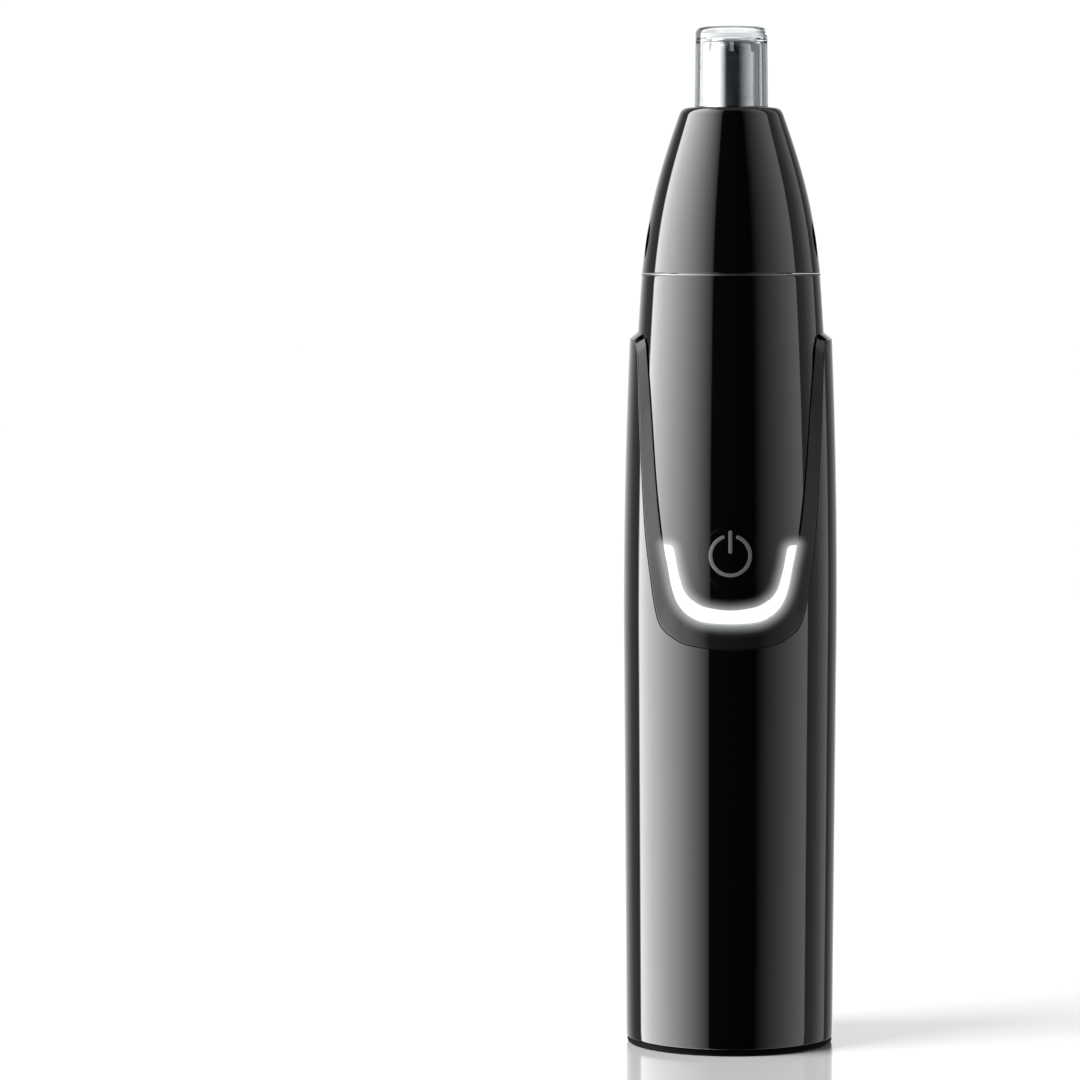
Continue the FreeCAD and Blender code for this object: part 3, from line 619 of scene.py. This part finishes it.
def build_barrel():
    """The barrel's wall, from one edge of the front opening round the back to the other edge."""
    side_top = RIM_Z - RIM_DROP
    lip_foot_z = 93.25
    low_z = BARREL_U[-1, 1]
    u_side = BARREL_U[BARREL_U[:, 1] < lip_foot_z][::-1]
    foot = np.array([0, 0.03, 0.07, 0.12, 0.2]) + BASE_EDGE_Z
    plain = np.arange(BASE_EDGE_Z + 1.5, low_z - 1.6, 1.5)
    approach = low_z - np.array([1.3, 0.8, 0.45, 0.25, 0.13, 0.07, 0.03])
    lip = np.array([93.34, 93.5, 93.63, 93.74, 93.82, 93.88, side_top, side_top + 0.05, side_top + 0.12,
                    side_top + 0.25, 94.35, 94.5, RIM_Z - 0.06, RIM_Z])
    z = np.concatenate([foot, plain, approach, u_side[:, 1], lip])
    outer = barrel_radius(z)
    # the foot's small round, and the slanted rim with its softened outer edge
    outer[:5] -= np.array([0.14, 0.07, 0.03, 0.01, 0.0])
    rim = z > side_top - 0.07
    edge_r = barrel_radius(side_top)
    above = z[rim] - side_top + 0.07
    outer[rim] = edge_r - 0.02 - above * (edge_r - BARREL_BORE_R - 0.05) / (RIM_DROP + 0.07)
    inner = np.full(len(z), BARREL_BORE_R)
    lip_x = np.interp(lip, [lip_foot_z, side_top], [u_side[-1, 0], 12.72])
    lip_x[6:] = np.sqrt(outer[-len(lip) + 6:] ** 2 - FRONT_CUT_Y ** 2)
    open_x = np.concatenate([np.zeros(len(z) - len(u_side) - len(lip)), u_side[:, 0], lip_x])
    angle_out = np.arcsin(np.clip(open_x / outer, 0, 1))
    angle_in = np.minimum(np.arcsin(np.clip(open_x / inner, 0, 1)), math.acos(FRONT_CUT_Y / BARREL_BORE_R))
    spread = edge_spaced(230, NEAR_EDGE, 2 * math.pi * 14)
    rows, columns = len(z), len(spread)
    out_angle = angle_out[:, None] + spread[None, :] * (2 * math.pi - 2 * angle_out[:, None])
    in_angle = angle_in[:, None] + spread[None, :] * (2 * math.pi - 2 * angle_in[:, None])
    out_points = with_rim_droop(around(outer[:, None], z[:, None], out_angle))
    edge = out_points[-len(lip) - len(u_side):, -1][:, (0, 2)] * (-1, 1)
    away = distance_to(edge, out_points[..., 0], out_points[..., 2])
    away[out_points[..., 1] > 0] = 9
    drop = rounding(away, BARREL_EDGE_ROUND)
    out_points = with_rim_droop(around(outer[:, None] - drop, z[:, None], out_angle))
    in_points = with_rim_droop(around(inner[:, None], z[:, None], in_angle))
    points = np.concatenate([out_points.reshape(-1, 3), in_points.reshape(-1, 3)])
    total = rows * columns
    faces = grid(rows, columns) + grid(rows, columns, first=total)
    for row in (0, rows - 1):
        for j in range(columns - 1):
            a = row * columns + j
            faces.append((a, a + 1, total + a + 1, total + a))
    for i in range(len(foot) + len(plain) + len(approach), rows - 1):
        for j in (0, columns - 1):
            a, b = i * columns + j, (i + 1) * columns + j
            faces.append((a, b, total + b, total + a))
    made = piece("barrel_shell", points, faces, "housing", "gloss_black", ["outer_barrel"])
    true_normals(made, barrel_radius, BASE_EDGE_Z + 0.4, side_top - 0.15)
    add_painted_glow_weight(made)
    return made


def build_upper_body():
    """Neck, front panel and inner tube as one moulding; the panel stands proud of the tube."""
    split_z = RIM_Z - 0.25
    full = np.concatenate([np.linspace(TUBE_FOOT_Z, 56.2, 5), [56.5, 56.62]])
    u_side = PANEL_U[::-1]
    upper = np.concatenate([np.linspace(93.6, split_z - 0.05, 5), [split_z]])
    neck = np.concatenate([[split_z + 0.0001], np.linspace(split_z + 0.5, NECK_Z - 0.12, 9),
                           [NECK_Z - 0.06, NECK_Z - 0.02, NECK_Z]])
    z = np.concatenate([full, u_side[:, 1], upper, neck])
    upper_half = np.interp(upper, [93.5, RIM_Z], [11.1, 11.15])
    half_x = np.concatenate([np.zeros(len(full)), u_side[:, 0], upper_half, np.full(len(neck), 11.15)])
    proud = body_radius(z)
    proud[:len(full)] = TUBE_R
    back = np.where(z > split_z, body_radius(z), TUBE_R)
    soft = np.array([0.01, 0.035, 0.08])
    proud[-3:] -= soft
    back[-3:] -= soft
    front_angle = np.arcsin(half_x / np.maximum(proud, 12))
    foot_angle = np.where(z > split_z, front_angle, np.arcsin(np.minimum(half_x / TUBE_R, 1)))
    spread = edge_spaced(110, NEAR_EDGE, 26)
    rows = len(z)
    front = (2 * spread[None, :] - 1) * front_angle[:, None]
    round_back = np.linspace(0, 1, 140)
    rear = foot_angle[:, None] + round_back[None, :] * (2 * math.pi - 2 * foot_angle[:, None])
    front_points = around(proud[:, None], z[:, None], front)
    away = distance_to(np.vstack([[(11.15, RIM_Z + 1)], PANEL_U]), front_points[..., 0], front_points[..., 2])
    away[z > split_z - 0.4] = 9
    away[:len(full)] = 9
    front_points = around(proud[:, None] - rounding(away, EDGE_ROUND), z[:, None], front)
    rear_points = around(back[:, None], z[:, None], rear)
    outer = np.concatenate([front_points, rear_points], axis=1)
    columns = outer.shape[1]
    regular = np.concatenate([front[-1], rear[-1]])
    inside = rounded([(SPIGOT_R, NECK_Z, 0), (SPIGOT_R, SPIGOT_TOP_Z, 0.2), (6.0, SPIGOT_TOP_Z, 0.2),
                      (6.0, 96.0, 0), (TUBE_BORE_R, 95.0, 0)])
    inner = around(inside[:, :1], inside[:, 1:], regular[None, :])
    foot = np.concatenate([front[0], rear[0]])
    last = around(TUBE_BORE_R, TUBE_FOOT_Z, foot)[None]
    points = np.concatenate([outer, inner, last]).reshape(-1, 3)
    faces = grid(rows + len(inside) + 1, columns, wrap_rows=True, wrap_columns=True)
    made = piece("panel_and_neck", points, faces, "housing", "gloss_black", ["upper_body"])
    hole = piece("button_hole_cutter", *rod_y(BUTTON_R + BUTTON_GAP, -20, -5))
    pocket = piece("button_pocket_cutter", *rod_y(POCKET_R, POCKET_FRONT_Y, -5))
    groove = piece("light_groove_cutter", *light_solid(0.05, -TUBE_R - 0.15, -20))
    cut(made, [hole, pocket, groove], "gloss_black")
    true_normals(made, body_radius, 56.8, NECK_Z - 0.14)
    add_painted_glow_weight(made)
    return made


def rod_y(radius, y0, y1, segments=160):
    """A closed rod along Y, centred on the button."""
    angles = np.linspace(0, 2 * math.pi, segments, endpoint=False)
    x, z = radius * np.cos(angles), BUTTON_Z + radius * np.sin(angles)
    ends = [np.stack([x, np.full(segments, y), z], axis=1) for y in (y0, y1)]
    return np.concatenate(ends), closed_grid(2, segments)


def mirror_u(half):
    """A half U and its mirror image, as one run from the left top to the right top."""
    left = half * (-1, 1)
    return np.vstack([left, half[-2::-1]])


def light_solid(grow, back_y, front_y):
    """A groove for the light's U between two planes; its outer side runs out past the panel's edge."""
    outer = offset(LIGHT_OUTER_U, 6 * grow)
    inner = offset(LIGHT_INNER_U, -grow)
    outer[0, 1] = LIGHT_TOP_Z + grow
    inner[0] = (inner[0, 0], LIGHT_TOP_Z + grow)
    loops = [mirror_u(outer), mirror_u(inner)]
    layers = []
    for line, y in ((loops[0], back_y), (loops[0], front_y), (loops[1], front_y), (loops[1], back_y)):
        layers.append(np.stack([line[:, 0], np.full(len(line), y), line[:, 1]], axis=1))
    points = np.stack(layers, axis=1)
    return points.reshape(-1, 3), closed_grid(len(points), len(layers))


def build_light_guide():
    """The lit U, which stands 0.02 mm proud of the panel, with softly rounded edges."""
    outer, inner = mirror_u(LIGHT_OUTER_U), mirror_u(LIGHT_INNER_U)
    across = np.array([0, 0.03, 0.1, 0.25, 0.5, 0.75, 0.9, 0.97, 1])
    width = 1.35
    lines = []
    for t in across:
        flat = outer * (1 - t) + inner * t
        radius = body_radius(flat[:, 1]) + 0.02 - rounding(np.array(min(t, 1 - t) * width), 0.1)
        lines.append(np.stack([flat[:, 0], -np.sqrt(radius ** 2 - flat[:, 0] ** 2), flat[:, 1]], axis=1))
    for flat in (inner, outer):
        depth = -np.sqrt((TUBE_R + 0.2) ** 2 - flat[:, 0] ** 2)
        lines.append(np.stack([flat[:, 0], depth, flat[:, 1]], axis=1))
    points = np.stack(lines, axis=1)
    count, columns = points.shape[:2]
    faces = closed_grid(count, columns)
    return piece("light_u", points.reshape(-1, 3), faces, "housing", "light_white", ["light_guide"])


def build_band():
    """Sloping satin frame from the panel's edge out to the barrel's edge."""
    inner = offset(PANEL_U, 0.07)
    outer = offset(BARREL_U, -0.05)
    inner = even(np.vstack([[(11.34, 93.93)], inner[inner[:, 1] < 93.4]]), 220)
    outer = even(np.vstack([[(12.50, 93.2)], outer[outer[:, 1] < 92.9]]), 220)
    inner, outer = mirror_u(inner), mirror_u(outer)
    depth_in = -np.sqrt((body_radius(inner[:, 1]) - 0.02) ** 2 - inner[:, 0] ** 2)
    depth_out = -np.sqrt((barrel_radius(outer[:, 1]) - 0.04) ** 2 - outer[:, 0] ** 2)
    # near the tips the band's inner edge stands proud of the panel, so that the band still faces outwards
    step = np.abs(outer) - np.abs(inner)
    lacking = np.maximum(depth_in + 0.6 * step[:, 0] + 0.25 * step[:, 1] - depth_out, 0)
    depth_in -= 0.85 * lacking
    depth_out += 0.15 * lacking
    rail_in = np.stack([inner[:, 0], depth_in, inner[:, 1]], axis=1)
    rail_out = np.stack([outer[:, 0], depth_out, outer[:, 1]], axis=1)
    across = np.array([0, 0.015, 0.04, 0.08, 0.2, 0.4, 0.6, 0.8, 0.92, 0.96, 0.985, 1])
    width = 2.4
    lines = []
    for t in across:
        line = rail_in * (1 - t) + rail_out * t
        drop = rounding(np.array(min(t, 1 - t) * width), EDGE_ROUND)
        lines.append(line + np.array((0, 1, 0)) * drop)
    # both sides run straight back to just outside the tube, and stop at the front cut
    back_r = TUBE_R + 0.07
    widest = math.acos((FRONT_CUT_Y + 0.06) / back_r)
    for rail in (rail_out, rail_in):
        angle = np.arcsin(np.clip(rail[:, 0] / back_r, -1, 1))
        lines.append(around(back_r, rail[:, 2], np.clip(angle, -widest, widest)))
    points = np.stack(lines, axis=1)
    count, columns = points.shape[:2]
    faces = closed_grid(count, columns)
    made = piece("bevel_frame", points.reshape(-1, 3), faces, "housing", "satin_grey", ["bevel_band"])
    add_painted_glow_weight(made)
    return made


NOSE_SIDE = [(11.87, NOSE_LOW[2]), (11.14, 108.0), (10.19, 112.8), (8.90, 117.6), (7.58, 121.56),
             (7.02, 123.2)]


def nose_radius(z):
    """Outside of the nose cone, a smooth curve through its stations."""
    stations = np.array(NOSE_SIDE)
    fit = np.polyfit(stations[:, 1] - 112, stations[:, 0], 4)
    return np.polyval(fit, z - 112)


def build_nose():
    """The head's cone, with a plain stepped bore and a notch cut in each side."""
    top = NOSE_HIGH[2]
    z = np.concatenate([[NOSE_LOW[2], NOSE_LOW[2] + 0.03, NOSE_LOW[2] + 0.1],
                        np.linspace(NOSE_LOW[2] + 0.5, 123.2, 60)])
    side = np.stack([nose_radius(z), z], axis=1)
    side[:3, 0] -= (0.1, 0.045, 0.0)
    start, bend, stop = side[-1], np.array((6.66, top - 0.06)), np.array((6.0, top - 0.05))
    arc = bent(start, bend, stop, 12)[1:]
    crown = [(5.6, top - 0.025), (5.0, top), (4.2, top), (3.95, top), (3.86, top - 0.03), (3.82, top - 0.1)]
    inside = [(3.82, 119.85), (5.3, 119.85), (5.3, 110.0), (7.0, 110.0), (7.0, 107.4), (8.25, 107.4),
              (8.25, NOSE_LOW[2])]
    points, faces = turned(np.vstack([side, arc, crown, inside]), 256)
    made = piece("nose_shell", points, faces, "head", "gloss_black", ["nose_cone"])
    cut(made, [notch_cutter(side_x) for side_x in (-1, 1)], "gloss_black")
    true_normals(made, nose_radius, NOSE_LOW[2] + 0.1, 123.2, 0.003)
    return made


def notch_cutter(side_x):
    """A tall lens-shaped prism that cuts a thumb notch, with sloping walls, a little forward of the side."""
    low, high, depth, forward = 104.3, 109.6, 0.7, math.radians(12)
    middle, half_height = (low + high) / 2, (high - low) / 2
    steps = 33
    turns = np.linspace(-1, 1, steps)
    loops = []
    for reach, width in ((11.1 - depth, 0.75), (13.5, 1.35)):
        bulge = width * (1 - turns ** 2)
        right = np.stack([np.full(steps, reach), bulge, middle + half_height * turns], axis=1)
        left = right[-2:0:-1] * (1, -1, 1)
        x, y, z = np.vstack([right, left]).T
        turned_x = x * math.cos(forward) + y * math.sin(forward)
        turned_y = y * math.cos(forward) - x * math.sin(forward)
        loops.append(np.stack([side_x * turned_x, turned_y, z], axis=1))
    count = len(loops[0])
    faces = closed_grid(2, count)
    return piece("notch_cutter", np.concatenate(loops), faces)


def build_trim_ring():
    """The thin ring between head and body."""
    low, high, outer = RING_LOW[2], RING_HIGH[2], RING_HIGH[0]
    outline = rounded([(8.3, low, 0), (outer, low, 0.08), (outer, high, 0.08), (8.3, high, 0)])
    return piece("trim_band", *turned(outline, 224), "housing", "chrome_trim", ["trim_ring"])


# ---------------------------------------------------------------- button and symbol

def on_panel(x, z, proud):
    """Points on the front panel's curve, raised by this much."""
    radius = body_radius(z) + proud
    return np.stack([x, -np.sqrt(radius ** 2 - x ** 2), z], axis=-1)


def build_button():
    """The key: its face is a piece of the panel's own curve, with a rounded edge, and a flange behind."""
    rings = np.array([0.0, 0.8, 1.6, 2.4, 3.1, 3.6, 3.82, 3.9, 3.95, 3.98, 4.0])
    segments = 160
    flange_r, flange_front, flange_back = 4.8, -10.95, -10.4
    angles = np.linspace(0, 2 * math.pi, segments, endpoint=False)
    x = rings[:, None] * np.cos(angles)
    z = BUTTON_Z + rings[:, None] * np.sin(angles)
    proud = -rounding(BUTTON_R - rings, 0.05)[:, None]
    lines = [on_panel(x, z, proud)]
    for radius, y in ((BUTTON_R, flange_front), (flange_r, flange_front), (flange_r, flange_back),
                      (0.0, flange_back)):
        ring = [radius * np.cos(angles), np.full(segments, y), BUTTON_Z + radius * np.sin(angles)]
        lines.append(np.stack(ring, axis=1)[None])
    points = np.concatenate(lines)
    faces = grid(len(points), segments, wrap_columns=True)
    made = piece("power_key", points.reshape(-1, 3), faces, "button", "gloss_black", ["power_button"])
    true_normals(made, body_radius, 60, 71, 0.003)
    add_painted_glow_weight(made)
    return made


def stroke(line, width, proud):
    """A stroke with round ends on the panel's curve, sunk 0.2 mm into what it lies on."""
    line = np.array(line, float)
    run = np.gradient(line, axis=0)
    run /= np.linalg.norm(run, axis=1)[:, None]
    side = np.stack([-run[:, 1], run[:, 0]], axis=1)
    half = width / 2
    ends = []
    for index, sign in ((0, -1), (-1, 1)):
        cap = []
        for t in np.linspace(0, 0.98, 7)[1:]:
            cap.append((line[index] + sign * run[index] * half * t, math.sqrt(1 - t * t)))
        ends.append(cap)
    stations = [(p, w) for p, w in reversed(ends[0])] + [(p, 1.0) for p in line] + ends[1]
    sides = [side[0]] * 6 + list(side) + [side[-1]] * 6
    across = np.array([-1, -0.86, -0.5, 0, 0.5, 0.86, 1])
    rows = []
    for (centre, share), normal in zip(stations, sides):
        flat = centre + normal * half * share * across[:, None]
        edge = proud * (1 - np.abs(across) ** 6)
        top = on_panel(flat[:, 0], flat[:, 1], edge)
        bottom = on_panel(flat[::-1, 0], flat[::-1, 1], -0.2)
        rows.append(np.concatenate([top, bottom]))
    points = np.stack(rows)
    count, columns = points.shape[:2]
    faces = closed_grid(count, columns)
    return points.reshape(-1, 3), faces


def build_symbol():
    """A ring that is open at its top, and a bar."""
    ring_r, width, gap, centre_z = 2.58, 0.48, math.radians(22), BUTTON_Z + 0.25
    turns = np.linspace(gap, 2 * math.pi - gap, 120)
    ring = np.stack([ring_r * np.sin(turns), centre_z + ring_r * np.cos(turns)], axis=1)
    bar = np.stack([np.zeros(12), centre_z + np.linspace(0.5, 3.05, 12)], axis=1)
    ring_points, ring_faces = stroke(ring, width, 0.025)
    bar_points, bar_faces = stroke(bar, width, 0.025)
    shift = len(ring_points)
    faces = ring_faces + [tuple(k + shift for k in face) for face in bar_faces]
    return piece("power_mark", np.concatenate([ring_points, bar_points]), faces, "button", "symbol_grey",
                 ["power_symbol"])


# ---------------------------------------------------------------- base

def build_base():
    """The base: an edge under the barrel, a plate, and a wall that stands up inside the barrel."""
    outer, edge_top = BASE_HIGH[0], BASE_EDGE_Z - 0.03
    wall_r, wall_inner_r, wall_top, plate_top = 12.34, 11.0, 7.4, 2.0
    outline = rounded([(0, 0.0, 0), (outer, 0.0, 0.4), (outer, edge_top, 0.15), (wall_r, edge_top, 0),
                       (wall_r, wall_top, 0.2), (wall_inner_r, wall_top, 0.2), (wall_inner_r, plate_top, 0.3),
                       (0, plate_top, 0)])
    made = piece("base_foot", *turned(fine(outline, 3.0), 224), "housing", "satin_black", ["base_cap"])
    y = (PLUG_LOW[1] + PLUG_HIGH[1]) / 2
    cutters = [piece("recess_cutter", *stadium(11.2, 5.6, -1, 1.1, y)),
               piece("port_cutter", *stadium(9.04, 3.36, 0.5, 4, y))]
    cut(made, cutters, "satin_black")
    return made


def stadium(width, height, z0, z1, y, round_r=0.0):
    """An upright prism with round ends; its lower edge may be rounded."""
    end = (width - height) / 2
    turns = np.linspace(0, math.pi, 24)
    levels = [(z0, round_r)]
    if round_r:
        for t in (0.3, 0.65, 1.0):
            turn = t * math.pi / 2
            levels.append((z0 + round_r * (1 - math.cos(turn)), round_r * (1 - math.sin(turn))))
    levels.append((z1, 0.0))
    rows = []
    for z, less in levels:
        r = height / 2 - less
        right = np.stack([end + r * np.sin(turns), y - r * np.cos(turns)], axis=1)
        left = np.stack([-end - r * np.sin(turns), y + r * np.cos(turns)], axis=1)
        flat = np.vstack([right, left])
        rows.append(np.column_stack([flat, np.full(len(flat), z)]))
    points = np.stack(rows)
    count, columns = points.shape[:2]
    faces = closed_grid(count, columns)
    return points.reshape(-1, 3), faces


def build_plug():
    """Silicone plug with a rounded face and a smaller boss on its inner side."""
    y = (PLUG_LOW[1] + PLUG_HIGH[1]) / 2
    face, faces = stadium(11.0, 5.4, PLUG_LOW[2], 1.05, y, round_r=0.3)
    boss, boss_faces = stadium(8.1, 2.4, 1.05, 1.6, y)
    shift = len(face)
    faces += [tuple(k + shift for k in f) for f in boss_faces]
    return piece("base_plug", np.concatenate([face, boss]), faces, "plug", "silicone_black", ["port_plug"])


# ---------------------------------------------------------------- cutter and cap

def build_cutter():
    """The slotted tube, with a flange at its foot and a slightly thicker collar above it."""
    top, low = CUTTER_HIGH[2], CUTTER_LOW[2]
    wall, flange_r, flange_top = 0.3, 5.2, low + 0.8
    collar_r, collar_top = CUTTER_R + 0.06, 125.55
    outline = rounded([(CUTTER_R - wall, low, 0), (flange_r, low, 0), (flange_r, flange_top, 0.1),
                       (collar_r, flange_top, 0), (collar_r, collar_top, 0.05), (CUTTER_R, 125.62, 0.03),
                       (CUTTER_R, top, 1.2), (0.001, top, 0), (0.001, top - wall, 0),
                       (CUTTER_R - wall, top - wall, 0.9)], steps=12)
    made = piece("cutter_tube", *turned(fine(outline, 0.6), 240), "head", "cutter_steel", ["outer_cutter"])
    cut(made, [slot_cutter(math.pi / 4 * i, top) for i in range(4)], "cutter_steel")
    return made


def slot_cutter(angle, top):
    """One box through both sides of the tube's end makes two slots; the middle of the end stays whole."""
    half, low, inner = 0.3, 131.65, 1.3
    outline = [(-6, low), (6, low), (6, top + 2), (inner, top + 2), (inner, top - 1.2), (-inner, top - 1.2),
               (-inner, top + 2), (-6, top + 2)]
    points = []
    for side in (-half, half):
        for along, z in outline:
            points.append((along * math.sin(angle) + side * math.cos(angle),
                           -along * math.cos(angle) + side * math.sin(angle), z))
    count = len(outline)
    faces = closed_grid(2, count)
    return piece("slot_cutter", points, faces)


def build_cap():
    """The thick clear cap, with a slight draft inside and out."""
    low, high, base_r = CAP_LOW[2], CAP_HIGH[2], CAP_HIGH[0]
    ceiling = CUTTER_HIGH[2] + 0.25
    outline = rounded([(base_r, low, 0.08), (base_r - 0.14, high, 0.85), (0.001, high, 0),
                       (0.001, ceiling, 0), (CUTTER_R + 0.14, ceiling, 1.0), (CUTTER_R + 0.28, low, 0.1)],
                      steps=12)
    return piece("cap_clear", *turned(fine(outline, 0.8), 224), "cap", "clear_plastic", ["clear_cap"])


# ---------------------------------------------------------------- scene

def build_floor():
    """A large pale plane with a faint mirror image, which the object's own gloss doesn't reflect."""
    size = 6
    corners = [(-size, -size, 0), (size, -size, 0), (size, size, 0), (-size, size, 0)]
    mesh = bpy.data.meshes.new("floor")
    mesh.from_pydata(corners, [], [(0, 1, 2, 3)])
    floor = bpy.data.objects.new("floor", mesh)
    bpy.context.scene.collection.objects.link(floor)
    floor.visible_glossy = False
    shader = Shader("floor_white")
    shader.set(Base_Color=(0.93, 0.935, 0.94, 1), IOR=1.45, Coat_Weight=0.5, Coat_Roughness=0.1,
               Coat_IOR=1.5)
    shader.roughness(shader.range(shader.noise(30, 2), 0.12, 0.16))
    mesh.materials.append(shader.material)


# The studio round the object, as (azimuth from the front towards +X in degrees, brightness)
STUDIO = [(-180, 1.25), (-165, 1.25), (-147, 0.76), (-134, 0.32), (-117, 0.26), (-116, 10.0),
          (-108, 10.0), (-83, 8.5), (-61, 5.8), (-42, 3.07), (-33, 1.9), (-28.7, 1.36), (-23.6, 0.7),
          (-22.4, 0.02), (27, 0.0), (32, 0.13), (41, 0.42), (60, 1.0), (81, 1.72), (91.5, 1.95),
          (92.5, 0.3), (106, 0.45), (122, 0.86), (130.5, 0.95), (131.5, 0.13), (136, 0.18), (144, 0.32),
          (160, 0.6), (168, 1.25), (180, 1.25)]
STUDIO_PEAK = 10.0
OVERHEAD = 0.5
BACKDROP = 1.05
BACKDROP_THROUGH_CAP = 0.74
MATT_LIGHT = 0.2


def build_world():
    """White studio. Only mirrored rays see its light panels, which run upright round the object.

    Rays that have passed through the cap see a dimmer backdrop, and matt surfaces get a dim even light.
    """
    world = bpy.data.worlds.new("studio")
    bpy.context.scene.world = world
    world.use_nodes = True
    world.cycles.sampling_method = "NONE"
    tree = world.node_tree
    tree.nodes.clear()

    def node(kind, links=(), **values):
        return add_node(tree, kind, links, **values)

    direction = node("TexCoord").outputs["Generated"]
    parts = node("SeparateXYZ", [(0, direction)]).outputs
    forward = node("Math", [(0, parts["Y"]), (1, -1.0)], operation="MULTIPLY").outputs[0]
    azimuth = node("Math", [(0, parts["X"]), (1, forward)], operation="ARCTAN2").outputs[0]
    share = node("MapRange", [("Value", azimuth), ("From Min", -math.pi), ("From Max", math.pi)]).outputs[0]
    ramp = node("ValToRGB", [(0, share)])
    stops = ramp.color_ramp.elements
    while len(stops) > 1:
        stops.remove(stops[0])
    for i, (degrees, brightness) in enumerate(STUDIO):
        position = (degrees + 180) / 360
        stop = stops[0] if i == 0 else stops.new(position)
        stop.position = position
        level = brightness / STUDIO_PEAK
        stop.color = (level, level, level, 1)
    panels = node("Math", [(0, ramp.outputs[0]), (1, STUDIO_PEAK)], operation="MULTIPLY").outputs[0]
    overhead = node("MapRange", [("Value", parts["Z"]), ("From Min", 0.82), ("From Max", 0.97)],
                    interpolation_type="SMOOTHSTEP").outputs[0]
    mixed = node("Mix", [(0, overhead), (2, panels), (3, OVERHEAD)]).outputs[0]
    rays = node("LightPath").outputs
    through = node("Math", [(0, rays["Transmission Depth"]), (1, 0.5)], operation="GREATER_THAN").outputs[0]
    backdrop = node("Mix", [(0, through), (2, BACKDROP), (3, BACKDROP_THROUGH_CAP)]).outputs[0]
    mirrored = node("Math", [(0, rays["Glossy Depth"]), (1, 0.5)], operation="GREATER_THAN").outputs[0]
    seen = node("Mix", [(0, mirrored), (2, backdrop), (3, mixed)]).outputs[0]
    matt = node("Math", [(0, rays["Diffuse Depth"]), (1, 0.5)], operation="GREATER_THAN").outputs[0]
    strength = node("Mix", [(0, matt), (2, seen), (3, MATT_LIGHT)]).outputs[0]
    background = node("Background", [("Color", (1, 1, 1, 1)), ("Strength", strength)]).outputs[0]
    node("OutputWorld", [(0, background)])


def build_lights():
    """A soft key from the upper left, which only shapes the shadow and the matt surfaces."""
    data = bpy.data.lights.new("key", "AREA")
    data.size = 0.9
    data.energy = 36
    light = bpy.data.objects.new("key", data)
    light.location = (-1.0, -0.5, 0.9)
    light.rotation_euler = (Vector((0, 0, 0.03)) - light.location).to_track_quat("-Z", "Y").to_euler()
    light.visible_glossy = False
    light.visible_camera = False
    bpy.context.scene.collection.objects.link(light)


def build_camera():
    """In front at the height of the neck, looking a little down, with room left on the object's left."""
    look_down, turn_left = 3.158, 2.233
    data = bpy.data.cameras.new("camera")
    data.sensor_width = 36
    data.lens = 163.0
    data.clip_start = 0.01
    camera = bpy.data.objects.new("camera", data)
    camera.location = (0, -0.65, 0.1029)
    camera.rotation_euler = (math.radians(90 - look_down), 0, math.radians(turn_left))
    bpy.context.scene.collection.objects.link(camera)
    bpy.context.scene.camera = camera


for build in (build_barrel, build_upper_body, build_light_guide, build_band, build_nose, build_trim_ring,
              build_button, build_symbol, build_base, build_plug, build_cutter, build_cap, build_floor,
              build_world, build_lights, build_camera):
    build()

bpy.context.scene.view_settings.view_transform = "Standard"
